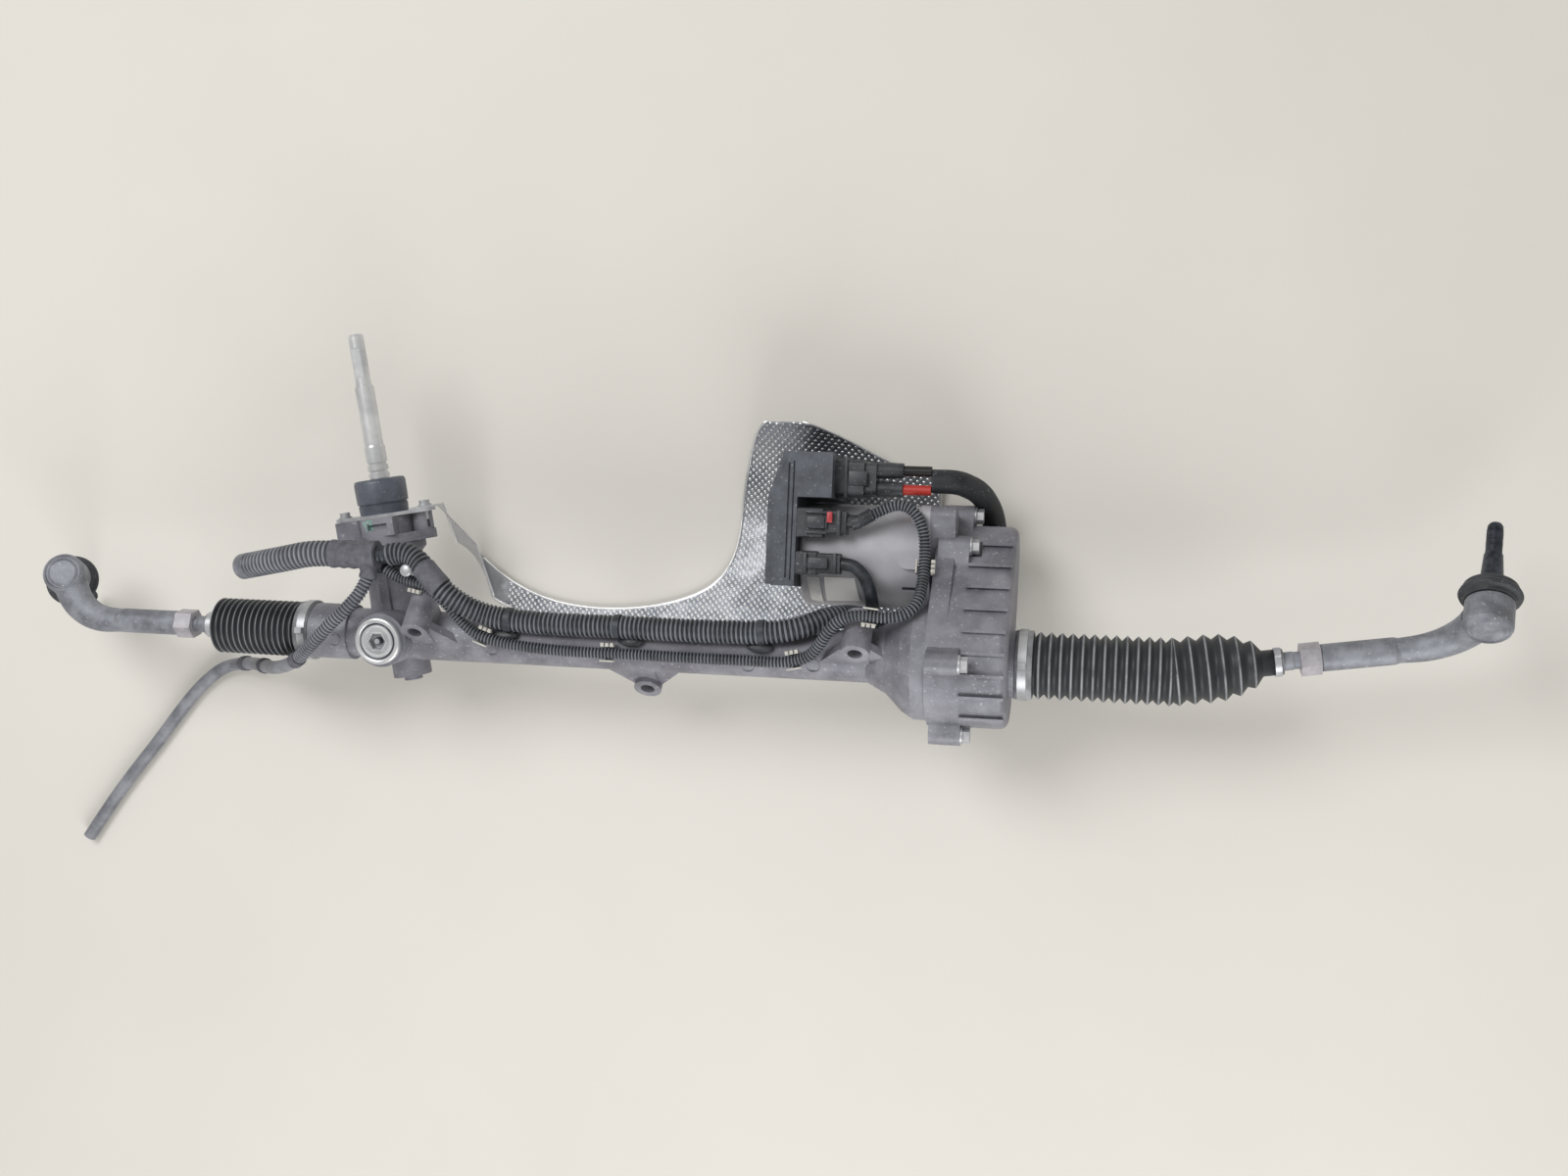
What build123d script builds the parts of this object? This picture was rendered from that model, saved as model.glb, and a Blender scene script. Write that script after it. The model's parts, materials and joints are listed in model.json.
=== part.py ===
"""Electric steering rack, lying on its heat shield.

Millimetres, +Z up. +X runs along the rack towards the motor end, and +Y is the side
that the input shaft leaves on. The origin is the centre of the middle mounting bore,
on its seat face. Places on the rack are given from the rack axis.
"""

import os
from math import asin, atan2, cos, degrees, pi, radians, sin, sqrt, tan

from build123d import *

os.makedirs("parts", exist_ok=True)

# Fits
seat_gap = 0.05
run_gap = 0.05
ball_gap = 0.25
free_gap = 0.4

# Car mounting bosses
lie_angle = 35
seat_drop = 21
lug_reach = 36
lug_radius = 12
lug_bore = 6.2
lug_length = 38
left_lug_x = -193
right_lug_x = 190
axis_y = seat_drop * cos(radians(lie_angle)) + lug_reach * sin(radians(lie_angle))
axis_z = lug_reach * cos(radians(lie_angle)) - seat_drop * sin(radians(lie_angle))

# Rack bar and its teeth
rack_radius = 13
screw_radius = 12.5
screw_left = 180
tooth_module = 2.5
pinion_teeth = 7
pressure_angle = 20
rack_addendum = 1.0
rack_dedendum = 2.4
pitch_depth = 8.6
tooth_gaps = 25
first_gap = -6
slack = 0.3

# Pinion line
pinion_x = -227
pinion_lean = 9.3
yoke_tilt = 8
pitch_radius = tooth_module * pinion_teeth / 2
pinion_drop = pitch_depth + pitch_radius
pinion_half = 14
tower_top = 80
sensor_top = 104

# Housing
tube_radius = 21.5
bar_bore = 16
neck_left = -314
collar_left = -302
neck_radius = 22.5
collar_right = -266
collar_radius = 24.5
stop_bore = 19.6
stop_depth = 42
bulb_radius = 50
joint_x = 264
cover_right = 314
cover_wall = 4
neck_right = 331
right_collar = 318
right_neck_radius = 25.5

# Belt drive
belt_pitch = 3
nut_teeth = 92
motor_teeth = 33
belt_height = 2.4
belt_width = 20
belt_x = 270
motor_y = 86
motor_z = -45
nut_radius = 27
nut_left = 234
nut_right = 300
case_radius = 54
case_motor_radius = 29

# Motor and control unit
motor_radius = 44
motor_left = 132.1
motor_right = 243
can_wall = 4
shaft_radius = 6
ecu_left = 107
ecu_right = 132
ecu_bottom_y = 57
ecu_top_y = 170
ecu_low_z = -80
ecu_high_z = 16

# Yoke
yoke_radius = 17
yoke_height = 36
plug_radius = 20.5

# Input shaft
input_radius = 9.2
input_end = 266
torsion_radius = 2.6

# Tie rods and ball joints
inner_left_x = -323
inner_right_x = 444
socket_back = 21
inner_ball = 13
inner_cup = 2
socket_radius = 19
rod_reach = 239
rod_crank = 39
right_swing = 8.5
left_roll = -14
right_roll = 55
left_head_lean = 18
right_head_lean = 15
rod_radius = 7.5
end_radius = 11
outer_ball = 11
outer_cup = 2
head_radius = 18.5
head_low = 16
head_high = 13
neck_width = 31
stud_length = 86
boot_radius = 23

# Bellows
bellows_wall = 1.5

# Heat shield
shield_z = -104
shield_gauge = 1.6

# Harness
main_radius = 9.75
signal_radius = 4.75
stub_radius = 11.5
loose_radius = 6
sleeve_radius = 10.2
lead_radius = 5.5
clip_runs = (2, 6, 9, 13, 18, 22)
clip_length = 7
clip_wall = 1.5


def place(x, y, z):
    """A point given from the rack axis."""
    return Vector(x, axis_y + y, axis_z + z)


def across(x, y=0, z=0):
    """Plane square to the rack: sketch x is +Y, sketch y is +Z, height runs along +X."""
    return Plane(origin=place(x, y, z), x_dir=(0, 1, 0), z_dir=(1, 0, 0))


def level(z):
    """Level plane: sketch x and y are X and Y from the rack axis."""
    return Plane(origin=place(0, 0, z), x_dir=(1, 0, 0), z_dir=(0, 0, 1))


def upright(y=0):
    """Plane along the rack that stands up: sketch x is X, sketch y is Z."""
    return Plane(origin=place(0, y, 0), x_dir=(1, 0, 0), z_dir=(0, -1, 0))


def half_of(plane):
    """Half plane to revolve in: sketch x is the radius, sketch y the height."""
    return Plane(origin=plane.origin, x_dir=plane.x_dir, z_dir=-plane.y_dir)


def turned(base, outline, mode=Mode.ADD):
    """Revolve an outline of (radius, height) points about the base plane's normal."""
    with BuildSketch(half_of(base)) as profile:
        with BuildLine():
            Polyline(*outline, close=True)
        make_face()
    revolve(profile.sketch, axis=Axis(base.origin, base.z_dir), mode=mode)


def tube_outline(inner, outer, low, high):
    """Outline of a plain ring or, with no inner radius, of a disc."""
    return [(inner, low), (outer, low), (outer, high), (inner, high)]


def two_circle_case(plane, radius, motor_side, depth, mode=Mode.ADD):
    """Extruded outline round the rack axis and the motor axis."""
    with BuildSketch(plane) as outline:
        Circle(radius)
        with Locations((motor_y, motor_z)):
            Circle(motor_side)
        make_hull()
    extrude(outline.sketch, amount=depth, mode=mode)


lie = radians(lie_angle)
bolt_way = Vector(0, cos(lie), -sin(lie))
tilt = radians(yoke_tilt)
lean = radians(pinion_lean)
yoke_way = Vector(0, -sin(tilt), cos(tilt))
pinion_way = Vector(-sin(lean), cos(lean) * cos(tilt), cos(lean) * sin(tilt))
mesh_way = Vector(cos(lean), sin(lean) * cos(tilt), sin(lean) * sin(tilt))
pinion_spot = place(pinion_x, 0, 0) - yoke_way * pinion_drop
pinion_plane = Plane(origin=pinion_spot, x_dir=mesh_way, z_dir=pinion_way)
yoke_plane = Plane(origin=place(pinion_x, 0, 0), x_dir=(1, 0, 0), z_dir=yoke_way)
motor_offset = sqrt(motor_y**2 + motor_z**2)
motor_turn = degrees(atan2(motor_z, motor_y))


def lug_plane(x, side):
    """Seat face of a mounting boss: height runs into the boss, along the bolt."""
    reach = Vector(0, sin(lie), cos(lie)) * lug_reach * side
    spot = place(x, 0, 0) + reach - bolt_way * seat_drop
    return Plane(origin=spot, x_dir=(1, 0, 0), z_dir=bolt_way)


def along_tower(height):
    """Plane square to the input shaft, at a height from the rack."""
    return pinion_plane.offset(height)


def bolt_ring():
    """Centres of the cover bolts, from the rack axis."""
    spots = [(-60, 10), (0, 62), (-34, -52)]
    spots += [(motor_y + 10, motor_z + 36), (motor_y + 37, motor_z + 2)]
    spots += [(motor_y - 10, motor_z - 36)]
    return spots


cover_bolt_spots = bolt_ring()
motor_bolt_spots = [(motor_y + 34, motor_z + 41), (motor_y - 22, motor_z - 49)]
bolt_shank = 3.2
bolt_head = 6.5
ear_radius = 9

# Rack housing: one casting from the left collar to the belt drive
tower_radius = 25
bearing_radius = 20
tower_flange = 31
lower_radius = 17
lower_end = -40
with BuildPart() as rack_housing:
    turned(across(0), tube_outline(0, tube_radius, collar_left, joint_x - 30))
    turned(across(0), tube_outline(0, neck_radius, neck_left, collar_left + 1))
    turned(across(0), tube_outline(0, collar_radius, collar_left, collar_right))
    bulb = [(0, 196), (tube_radius, 196), (30, 212), (44, 226), (bulb_radius, 236)]
    turned(across(0), bulb + [(bulb_radius, joint_x), (0, joint_x)])
    two_circle_case(across(joint_x - 16), case_radius, case_motor_radius + 7, 16)
    # bolt ears round the joint
    with BuildSketch(across(joint_x - 14)):
        with Locations(*cover_bolt_spots):
            Circle(ear_radius)
    extrude(amount=14)
    for spot in cover_bolt_spots:
        inward = (spot[0] * 0.8 + motor_y * 0.05, spot[1] * 0.8)
        with BuildSketch(across(joint_x - 14)) as ear:
            with Locations(spot):
                Circle(ear_radius)
            with Locations(inward):
                Circle(ear_radius)
            make_hull()
        extrude(ear.sketch, amount=14)
    # motor bolt ears
    for spot in motor_bolt_spots:
        with BuildSketch(across(motor_right)) as ear:
            with Locations(spot):
                Circle(ear_radius)
            with Locations((motor_y, motor_z)):
                Circle(30)
            make_hull()
        extrude(ear.sketch, amount=joint_x - motor_right)
    # pinion tower and the lower bearing cup
    turned(
        pinion_plane,
        [
            (0, lower_end),
            (lower_radius, lower_end),
            (lower_radius, -20),
            (tower_radius - 3, -14),
            (tower_radius + 2, 4),
            (tower_radius, tower_top - 12),
            (tower_flange, tower_top - 6),
            (tower_flange, tower_top),
            (0, tower_top),
        ],
    )
    # yoke boss
    turned(yoke_plane, tube_outline(0, yoke_radius + 6.5, 0, yoke_height))
    # left and right bosses stand in front of the tube, the middle one behind its lower edge
    for lug_x, side in ((left_lug_x, 1), (0, -1), (right_lug_x, 1)):
        seat = lug_plane(lug_x, side)
        turned(seat, tube_outline(0, lug_radius, 0, lug_length))
        with BuildSketch(seat.offset(5)) as web:
            with BuildLine():
                Polyline(
                    (-lug_radius, 0),
                    (-34, side * (lug_reach - 12)),
                    (34, side * (lug_reach - 12)),
                    (lug_radius, 0),
                    close=True,
                )
            make_face()
        extrude(web.sketch, amount=7)
        with BuildSketch(seat.offset(4)) as stem:
            with Locations((0, side * lug_reach / 2)):
                Rectangle(2 * lug_radius - 4, lug_reach)
        extrude(stem.sketch, amount=lug_length - 8)
    # front rib of the tower
    with BuildSketch(along_tower(22)) as rib:
        with Locations((0, -tower_radius)):
            Rectangle(8, 10)
    extrude(rib.sketch, amount=tower_top - 30)
    # clear the bar's bore and the stop bore
    turned(across(0), tube_outline(0, bar_bore, neck_left - 1, nut_left - 2), Mode.SUBTRACT)
    turned(
        across(0),
        tube_outline(0, stop_bore, neck_left - 1, neck_left + stop_depth),
        Mode.SUBTRACT,
    )
    turned(across(0), tube_outline(0, 32, nut_left - 3, joint_x - 24), Mode.SUBTRACT)
    turned(across(0), tube_outline(0, 40, joint_x - 24, joint_x + 1), Mode.SUBTRACT)
    # room for the belt and the motor's spigot
    two_circle_case(across(joint_x - 3), 49, 23, 5, Mode.SUBTRACT)
    motor_hole = across(0, motor_y, motor_z)
    turned(motor_hole, tube_outline(0, 18, motor_right - 5, joint_x + 1), Mode.SUBTRACT)
    # pinion bore, wider above for its bearing, and the cup below
    turned(pinion_plane, tube_outline(0, 12.2, -26, 28), Mode.SUBTRACT)
    turned(pinion_plane, tube_outline(0, 12.2, lower_end - 1, -26), Mode.SUBTRACT)
    turned(pinion_plane, tube_outline(0, bearing_radius, 28, tower_top + 1), Mode.SUBTRACT)
    turned(yoke_plane, tube_outline(0, yoke_radius, 2, yoke_height + 1), Mode.SUBTRACT)
    for lug_x, side in ((left_lug_x, 1), (0, -1), (right_lug_x, 1)):
        seat = lug_plane(lug_x, side)
        turned(seat, tube_outline(0, lug_bore, -1, lug_length + 1), Mode.SUBTRACT)
    for spot in cover_bolt_spots:
        with BuildSketch(across(joint_x - 15)) as hole:
            with Locations(spot):
                Circle(bolt_shank + seat_gap)
        extrude(hole.sketch, amount=16, mode=Mode.SUBTRACT)
    for spot in motor_bolt_spots:
        with BuildSketch(across(motor_right - 1)) as hole:
            with Locations(spot):
                Circle(bolt_shank + seat_gap)
        extrude(hole.sketch, amount=joint_x - motor_right + 2, mode=Mode.SUBTRACT)
rack_housing.part.label = "rack_housing"
export_step(rack_housing.part, "parts/rack_housing.step")

# Belt cover with ribs on its outer skin and the collar that carries the bellows
cover_depth = cover_right - joint_x
rib_rise = 3
rib_pitch = 18
rib_spots = [(0, -45 + rib_pitch * i) for i in range(9)]
with BuildPart() as cover_ribs:
    two_circle_case(
        across(joint_x + 12), case_radius + rib_rise, case_motor_radius + rib_rise, cover_depth - 14
    )
    with BuildSketch(across(joint_x + 12)) as slats:
        for low, spot_y in rib_spots:
            with Locations((spot_y, low)):
                Rectangle(2.6, 4 * case_radius)
    extrude(slats.sketch, amount=cover_depth, mode=Mode.INTERSECT)
    two_circle_case(
        across(joint_x + 10), case_radius - 1, case_motor_radius - 1, cover_depth, Mode.SUBTRACT
    )
with BuildPart() as belt_cover:
    two_circle_case(across(joint_x), case_radius, case_motor_radius, cover_depth)
    outer_rim = belt_cover.edges().group_by(Axis.X)[-1]
    fillet(outer_rim, 7)
    add(cover_ribs.part)
    for spot in cover_bolt_spots:
        inward = (spot[0] * 0.8 + motor_y * 0.05, spot[1] * 0.8)
        with BuildSketch(across(joint_x)) as ear:
            with Locations(spot):
                Circle(ear_radius)
            with Locations(inward):
                Circle(ear_radius)
            make_hull()
        extrude(ear.sketch, amount=12)
    turned(across(0), tube_outline(0, 28, cover_right - 2, right_collar))
    turned(across(0), tube_outline(0, right_neck_radius, right_collar - 1, neck_right))
    two_circle_case(across(joint_x - 1), 49, 24, cover_depth - cover_wall + 1, Mode.SUBTRACT)
    turned(across(0), tube_outline(0, 21, joint_x, neck_right + 1), Mode.SUBTRACT)
    for spot in cover_bolt_spots:
        with BuildSketch(across(joint_x - 1)) as hole:
            with Locations(spot):
                Circle(bolt_shank + seat_gap)
        extrude(hole.sketch, amount=14, mode=Mode.SUBTRACT)
        seat = across(joint_x + 12, spot[0], spot[1])
        turned(seat, tube_outline(0, bolt_head + 2, 0, 10), Mode.SUBTRACT)
belt_cover.part.label = "belt_cover"
export_step(belt_cover.part, "parts/belt_cover.step")

# Flange bolts: four parts of the joint are clamped by the same kind of bolt
with BuildPart() as fasteners:
    for spot in cover_bolt_spots:
        base = across(joint_x + 12, spot[0], spot[1])
        turned(base, tube_outline(0, bolt_shank, -24, 0))
        turned(base, tube_outline(0, bolt_head + 1.5, 0.02, 1.8))
        with BuildSketch(base.offset(1.8)) as head:
            RegularPolygon(bolt_head, 6)
        extrude(head.sketch, amount=6)
    for spot in motor_bolt_spots:
        base = across(motor_right - 8, spot[0], spot[1])
        turned(base, tube_outline(0, bolt_shank, 0, 26))
        turned(base, tube_outline(0, bolt_head + 1.5, -1.8, -0.02))
        with BuildSketch(base.offset(-7.8)) as head:
            RegularPolygon(bolt_head, 6)
        extrude(head.sketch, amount=6)

# Torque sensor housing: a die cast cap on the tower with ears and a connector
sensor_radius = 26
ear_reach = 36
ear_size = 8.5
plate_gauge = 3
ear_screws = [(-ear_reach - 2, -2), (ear_reach + 4, -4)]
ear_screw_radius = 2.2
with BuildPart() as sensor_housing:
    with BuildSketch(along_tower(tower_top + seat_gap)) as foot:
        Circle(tower_flange)
        with Locations((-ear_reach, 0), (ear_reach, 0)):
            Circle(ear_size)
        make_hull()
    extrude(foot.sketch, amount=8)
    turned(
        pinion_plane,
        tube_outline(0, sensor_radius, tower_top + seat_gap, sensor_top),
    )
    with BuildSketch(along_tower(tower_top + 8)) as screw_boss:
        with Locations((ear_reach - 2, 0)):
            Circle(9)
        with Locations((-ear_reach + 6, -8)):
            Rectangle(22, 20)
        with Locations((4, -sensor_radius + 1)):
            Rectangle(30, 10)
    extrude(screw_boss.sketch, amount=sensor_top - tower_top - 8)
    turned(
        pinion_plane,
        tube_outline(0, 21, tower_top - 1, sensor_top - 4),
        Mode.SUBTRACT,
    )
    turned(pinion_plane, tube_outline(0, 14, sensor_top - 5, sensor_top + 1), Mode.SUBTRACT)
    # slot in the front tab
    with BuildSketch(along_tower(tower_top + 14)) as slot:
        with Locations((4, -sensor_radius - 3)):
            Rectangle(18, 6)
    extrude(slot.sketch, amount=5, mode=Mode.SUBTRACT)
    with BuildSketch(along_tower(sensor_top)) as screw_holes:
        with Locations(*ear_screws):
            Circle(ear_screw_radius + seat_gap)
    extrude(screw_holes.sketch, amount=-14, mode=Mode.SUBTRACT)
sensor_housing.part.label = "sensor_housing"
export_step(sensor_housing.part, "parts/sensor_housing.step")

# Thin steel plate that holds the cap down
with BuildPart() as clamp_plate:
    with BuildSketch(along_tower(sensor_top + seat_gap)) as plate:
        Circle(sensor_radius - 2)
        with Locations((-ear_reach - 2, -2), (ear_reach + 4, -4)):
            Circle(ear_size)
        make_hull()
        Circle(17, mode=Mode.SUBTRACT)
        with Locations(*ear_screws):
            Circle(ear_screw_radius + seat_gap, mode=Mode.SUBTRACT)
    extrude(plate.sketch, amount=plate_gauge)
clamp_plate.part.label = "clamp_plate"
export_step(clamp_plate.part, "parts/clamp_plate.step")

# Ear screws; the one on the right also holds the shield's tab
with fasteners:
    for spot, under in zip(ear_screws, (0, shield_gauge + 2 * seat_gap)):
        seat = along_tower(sensor_top + plate_gauge + under + 2 * seat_gap)
        turned(
            Plane(origin=seat.from_local_coords((*spot, 0)), x_dir=seat.x_dir, z_dir=seat.z_dir),
            [(0, -12), (ear_screw_radius, -12), (ear_screw_radius, 0), (6, 0), (6, 1.2), (4.6, 1.2), (4.6, 5), (0, 5)],
        )
fasteners.part.label = "fasteners"
export_step(fasteners.part, "parts/fasteners.step")

# Rubber cap round the input shaft
cap_low = sensor_top + seat_gap
cap_lip = input_radius + free_gap
with BuildPart() as dust_cap:
    turned(
        pinion_plane,
        [
            (cap_lip + 2, cap_low),
            (16.5, cap_low),
            (16.5, cap_low + 5),
            (20, cap_low + 6),
            (20, cap_low + 11),
            (18, cap_low + 12),
            (18, cap_low + 14),
            (20.5, cap_low + 15),
            (20.5, cap_low + 23),
            (17, cap_low + 26),
            (cap_lip, cap_low + 26),
            (cap_lip, cap_low + 22),
            (cap_lip + 4, cap_low + 18),
            (cap_lip + 2, cap_low + 6),
        ],
    )
dust_cap.part.label = "dust_cap"
export_step(dust_cap.part, "parts/dust_cap.step")

# Torque sensor ring inside its housing
with BuildPart() as torque_sensor:
    turned(pinion_plane, tube_outline(15, 20.9, tower_top + 3, tower_top + 13))
    with BuildSketch(along_tower(tower_top + 3)) as board:
        with Locations((0, 16.5)):
            Rectangle(12, 3)
    extrude(board.sketch, amount=16)
torque_sensor.part.label = "torque_sensor"
export_step(torque_sensor.part, "parts/torque_sensor.step")

# Pinion with straight teeth, its journals and the torsion bar that ties it to the input shaft
base_radius = pitch_radius * cos(radians(pressure_angle))
tip_radius = pitch_radius + 2.0
root_radius = pitch_radius - rack_addendum - slack


def involute_half_angle(radius):
    """Half the angle that a pinion tooth covers at a radius."""
    at_pitch = (pi * tooth_module / 2 - slack) / (2 * pitch_radius)
    start = tan(radians(pressure_angle)) - radians(pressure_angle)
    if radius <= base_radius:
        return at_pitch + start
    pressure = sqrt((radius / base_radius) ** 2 - 1)
    return at_pitch + start - (pressure - atan2(pressure, 1))


flank_radii = [root_radius, base_radius, 9.0, 9.9, tip_radius]
lower_journal = 8
upper_journal = 10
neck_top = 56
with BuildPart() as pinion:
    turned(
        pinion_plane,
        [
            (0, lower_end + 8),
            (lower_journal, lower_end + 8),
            (lower_journal, -pinion_half - 1),
            (root_radius, -pinion_half),
            (root_radius, pinion_half),
            (upper_journal, pinion_half + 4),
            (upper_journal, neck_top),
            (14, neck_top),
            (14, tower_top + 14),
            (0, tower_top + 14),
        ],
    )
    with BuildSketch(along_tower(-pinion_half)) as teeth:
        for tooth in range(pinion_teeth):
            # one tooth points at the rack, into the gap that is cut for it
            middle = -pi / 2 + 2 * pi * tooth / pinion_teeth
            left = [(r, middle + involute_half_angle(r)) for r in flank_radii]
            right = [(r, middle - involute_half_angle(r)) for r in reversed(flank_radii)]
            spots = [(r * cos(a), r * sin(a)) for r, a in [(5, left[0][1])] + left + right]
            with BuildLine():
                Polyline(*spots, (5 * cos(right[-1][1]), 5 * sin(right[-1][1])), close=True)
            make_face()
    extrude(teeth.sketch, amount=2 * pinion_half)
    turned(
        pinion_plane,
        tube_outline(0, input_radius + free_gap, neck_top + 2, tower_top + 15),
        Mode.SUBTRACT,
    )
    turned(
        pinion_plane,
        tube_outline(0, torsion_radius + seat_gap, 20, neck_top + 3),
        Mode.SUBTRACT,
    )
pinion.part.label = "pinion"
export_step(pinion.part, "parts/pinion.step")

with BuildPart() as torsion_bar:
    turned(pinion_plane, tube_outline(0, torsion_radius, 20.1, 150))
torsion_bar.part.label = "torsion_bar"
export_step(torsion_bar.part, "parts/torsion_bar.step")

# Input shaft: stepped and ground, with grooves over the cap, a knurled band and flats at the tip
groove_spots = [136, 143, 150]
step_one = 168
step_two = 222
with BuildPart() as input_shaft:
    turned(
        pinion_plane,
        [
            (0, neck_top + 3),
            (input_radius, neck_top + 3),
            (input_radius, step_one - 2),
            (8.4, step_one),
            (8.4, step_two - 3),
            (6.8, step_two),
            (6.8, input_end - 2),
            (5.6, input_end),
            (0, input_end),
        ],
    )
    for height in groove_spots:
        turned(
            pinion_plane,
            tube_outline(input_radius - 1.3, input_radius + 1, height, height + 2.5),
            Mode.SUBTRACT,
        )
    with BuildSketch(along_tower(step_two + 6)) as flats:
        with Locations((0, 8.6), (0, -8.6)):
            Rectangle(20, 6)
    extrude(flats.sketch, amount=26, mode=Mode.SUBTRACT)
    turned(
        pinion_plane,
        tube_outline(0, torsion_radius + free_gap, neck_top + 2, 152),
        Mode.SUBTRACT,
    )
input_shaft.part.label = "input_shaft"
export_step(input_shaft.part, "parts/input_shaft.step")

# Bearings of the pinion: a ball bearing above the teeth and a plain one below
with BuildPart() as pinion_bearings:
    base = along_tower(32)
    turned(base, tube_outline(upper_journal + run_gap, 13, 0, 12))
    turned(base, tube_outline(17, bearing_radius - seat_gap, 0, 12))
    with Locations(base.offset(6)):
        with PolarLocations(15, 9):
            Sphere(1.95)
    turned(
        pinion_plane,
        tube_outline(lower_journal + run_gap, 12.2 - seat_gap, -30, -18),
    )

# Cap that closes the lower bearing cup
with BuildPart() as pinion_end_cap:
    turned(pinion_plane, tube_outline(0, 12.2 - seat_gap, lower_end, lower_end + 6))
    turned(pinion_plane, tube_outline(0, 8, lower_end - 4, lower_end + 1))
    with BuildSketch(along_tower(lower_end - 5)) as hex_hole:
        RegularPolygon(4.6, 6)
    extrude(hex_hole.sketch, amount=6, mode=Mode.SUBTRACT)
pinion_end_cap.part.label = "pinion_end_cap"
export_step(pinion_end_cap.part, "parts/pinion_end_cap.step")

# Rack support: the yoke, its spring and the threaded plug
yoke_top = 25
with BuildPart() as yoke:
    turned(yoke_plane, tube_outline(0, yoke_radius - seat_gap, 4, yoke_top))
    turned(across(0), tube_outline(0, rack_radius + run_gap, pinion_x - 30, pinion_x + 30), Mode.SUBTRACT)
    turned(yoke_plane, tube_outline(0, 10, yoke_top - 7, yoke_top + 1), Mode.SUBTRACT)
    turned(yoke_plane, tube_outline(yoke_radius - 1.2, yoke_radius + 1, 18, 20.5), Mode.SUBTRACT)
yoke.part.label = "yoke"
export_step(yoke.part, "parts/yoke.step")

spring_wire = 1.5
plug_low = yoke_height - 8
spring_play = 0.6
spring_length = plug_low - (yoke_top - 7) - 2 * spring_wire - 2 * spring_play
with BuildPart() as yoke_spring:
    with BuildLine(yoke_plane.offset(yoke_top - 7 + spring_wire + spring_play)) as coil:
        Helix(pitch=spring_length / 2, height=spring_length, radius=7.5)
    with BuildSketch(Plane(origin=coil.line @ 0, z_dir=coil.line % 0)):
        Circle(spring_wire)
    sweep(path=coil.line)
yoke_spring.part.label = "yoke_spring"
export_step(yoke_spring.part, "parts/yoke_spring.step")

with BuildPart() as yoke_plug:
    turned(
        yoke_plane,
        [
            (0, plug_low),
            (yoke_radius - seat_gap, plug_low),
            (yoke_radius - seat_gap, yoke_height + seat_gap),
            (plug_radius, yoke_height + seat_gap),
            (plug_radius, yoke_height + 5),
            (plug_radius - 1, yoke_height + 6),
            (16, yoke_height + 6),
            (16, yoke_height + 4),
            (14.5, yoke_height + 4),
            (14.5, yoke_height + 6.5),
            (0, yoke_height + 6.5),
        ],
    )
    with BuildSketch(yoke_plane.offset(yoke_height)) as hex_hole:
        RegularPolygon(7.5, 6)
        Circle(2.4, mode=Mode.SUBTRACT)
    extrude(hex_hole.sketch, amount=7, mode=Mode.SUBTRACT)
yoke_plug.part.label = "yoke_plug"
export_step(yoke_plug.part, "parts/yoke_plug.step")

# Rack bar: round, with straight teeth cut square to the pinion and a ball screw end
rack_left = inner_left_x + socket_back
rack_right = inner_right_x - socket_back
gap_pitch = pi * tooth_module
flank_slope = tan(radians(pressure_angle))
half_gap = gap_pitch / 4
tip_line = -(pitch_radius - rack_addendum)
root_line = -(pitch_radius + rack_dedendum)
tooth_reach = 45
socket_screw = 8
screw_depth = 18
with BuildPart() as rack_bar:
    turned(
        across(0),
        [
            (0, rack_left),
            (rack_radius - 1, rack_left),
            (rack_radius, rack_left + 1),
            (rack_radius, screw_left),
            (screw_radius, screw_left + 2),
            (screw_radius, rack_right),
            (0, rack_right),
        ],
    )
    with BuildSketch(pinion_plane) as gaps:
        for gap in range(tooth_gaps):
            middle = (first_gap + gap) * gap_pitch
            with BuildLine():
                Polyline(
                    (middle - half_gap - 2 * flank_slope, tip_line + 1),
                    (middle - half_gap + rack_dedendum * flank_slope, root_line),
                    (middle + half_gap - rack_dedendum * flank_slope, root_line),
                    (middle + half_gap + 2 * flank_slope, tip_line + 1),
                    close=True,
                )
            make_face()
        last_gap = (first_gap + tooth_gaps) * gap_pitch
        with Locations(((first_gap * gap_pitch + last_gap - gap_pitch) / 2, tip_line + 5)):
            Rectangle(last_gap - first_gap * gap_pitch + 2, 10)
    extrude(gaps.sketch, amount=tooth_reach, both=True, mode=Mode.SUBTRACT)
    for end, way in ((rack_left, 1), (rack_right, -1)):
        turned(
            across(0),
            tube_outline(0, socket_screw + seat_gap, end - way, end + way * screw_depth),
            Mode.SUBTRACT,
        )
rack_bar.part.label = "rack_bar"
export_step(rack_bar.part, "parts/rack_bar.step")

# Bush that carries the bar inside the left collar
with BuildPart() as rack_bush:
    turned(
        across(0),
        tube_outline(rack_radius + run_gap, bar_bore - seat_gap, collar_right + 2, collar_right + 20),
    )
rack_bush.part.label = "rack_bush"
export_step(rack_bush.part, "parts/rack_bush.step")

# Ball nut, its bearing and the driven pulley
nut_bore = screw_radius + free_gap
with BuildPart() as ball_nut:
    turned(
        across(0),
        [
            (nut_bore, nut_left),
            (nut_radius - 1, nut_left),
            (nut_radius, nut_left + 1),
            (nut_radius, nut_right),
            (nut_bore, nut_right),
        ],
    )
    # return tube on the nut's flank
    with BuildSketch(across(nut_right - 8)) as tube:
        with Locations((0, -nut_radius)):
            Circle(3)
    extrude(tube.sketch, amount=7)
ball_nut.part.label = "ball_nut"
export_step(ball_nut.part, "parts/ball_nut.step")

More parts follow.
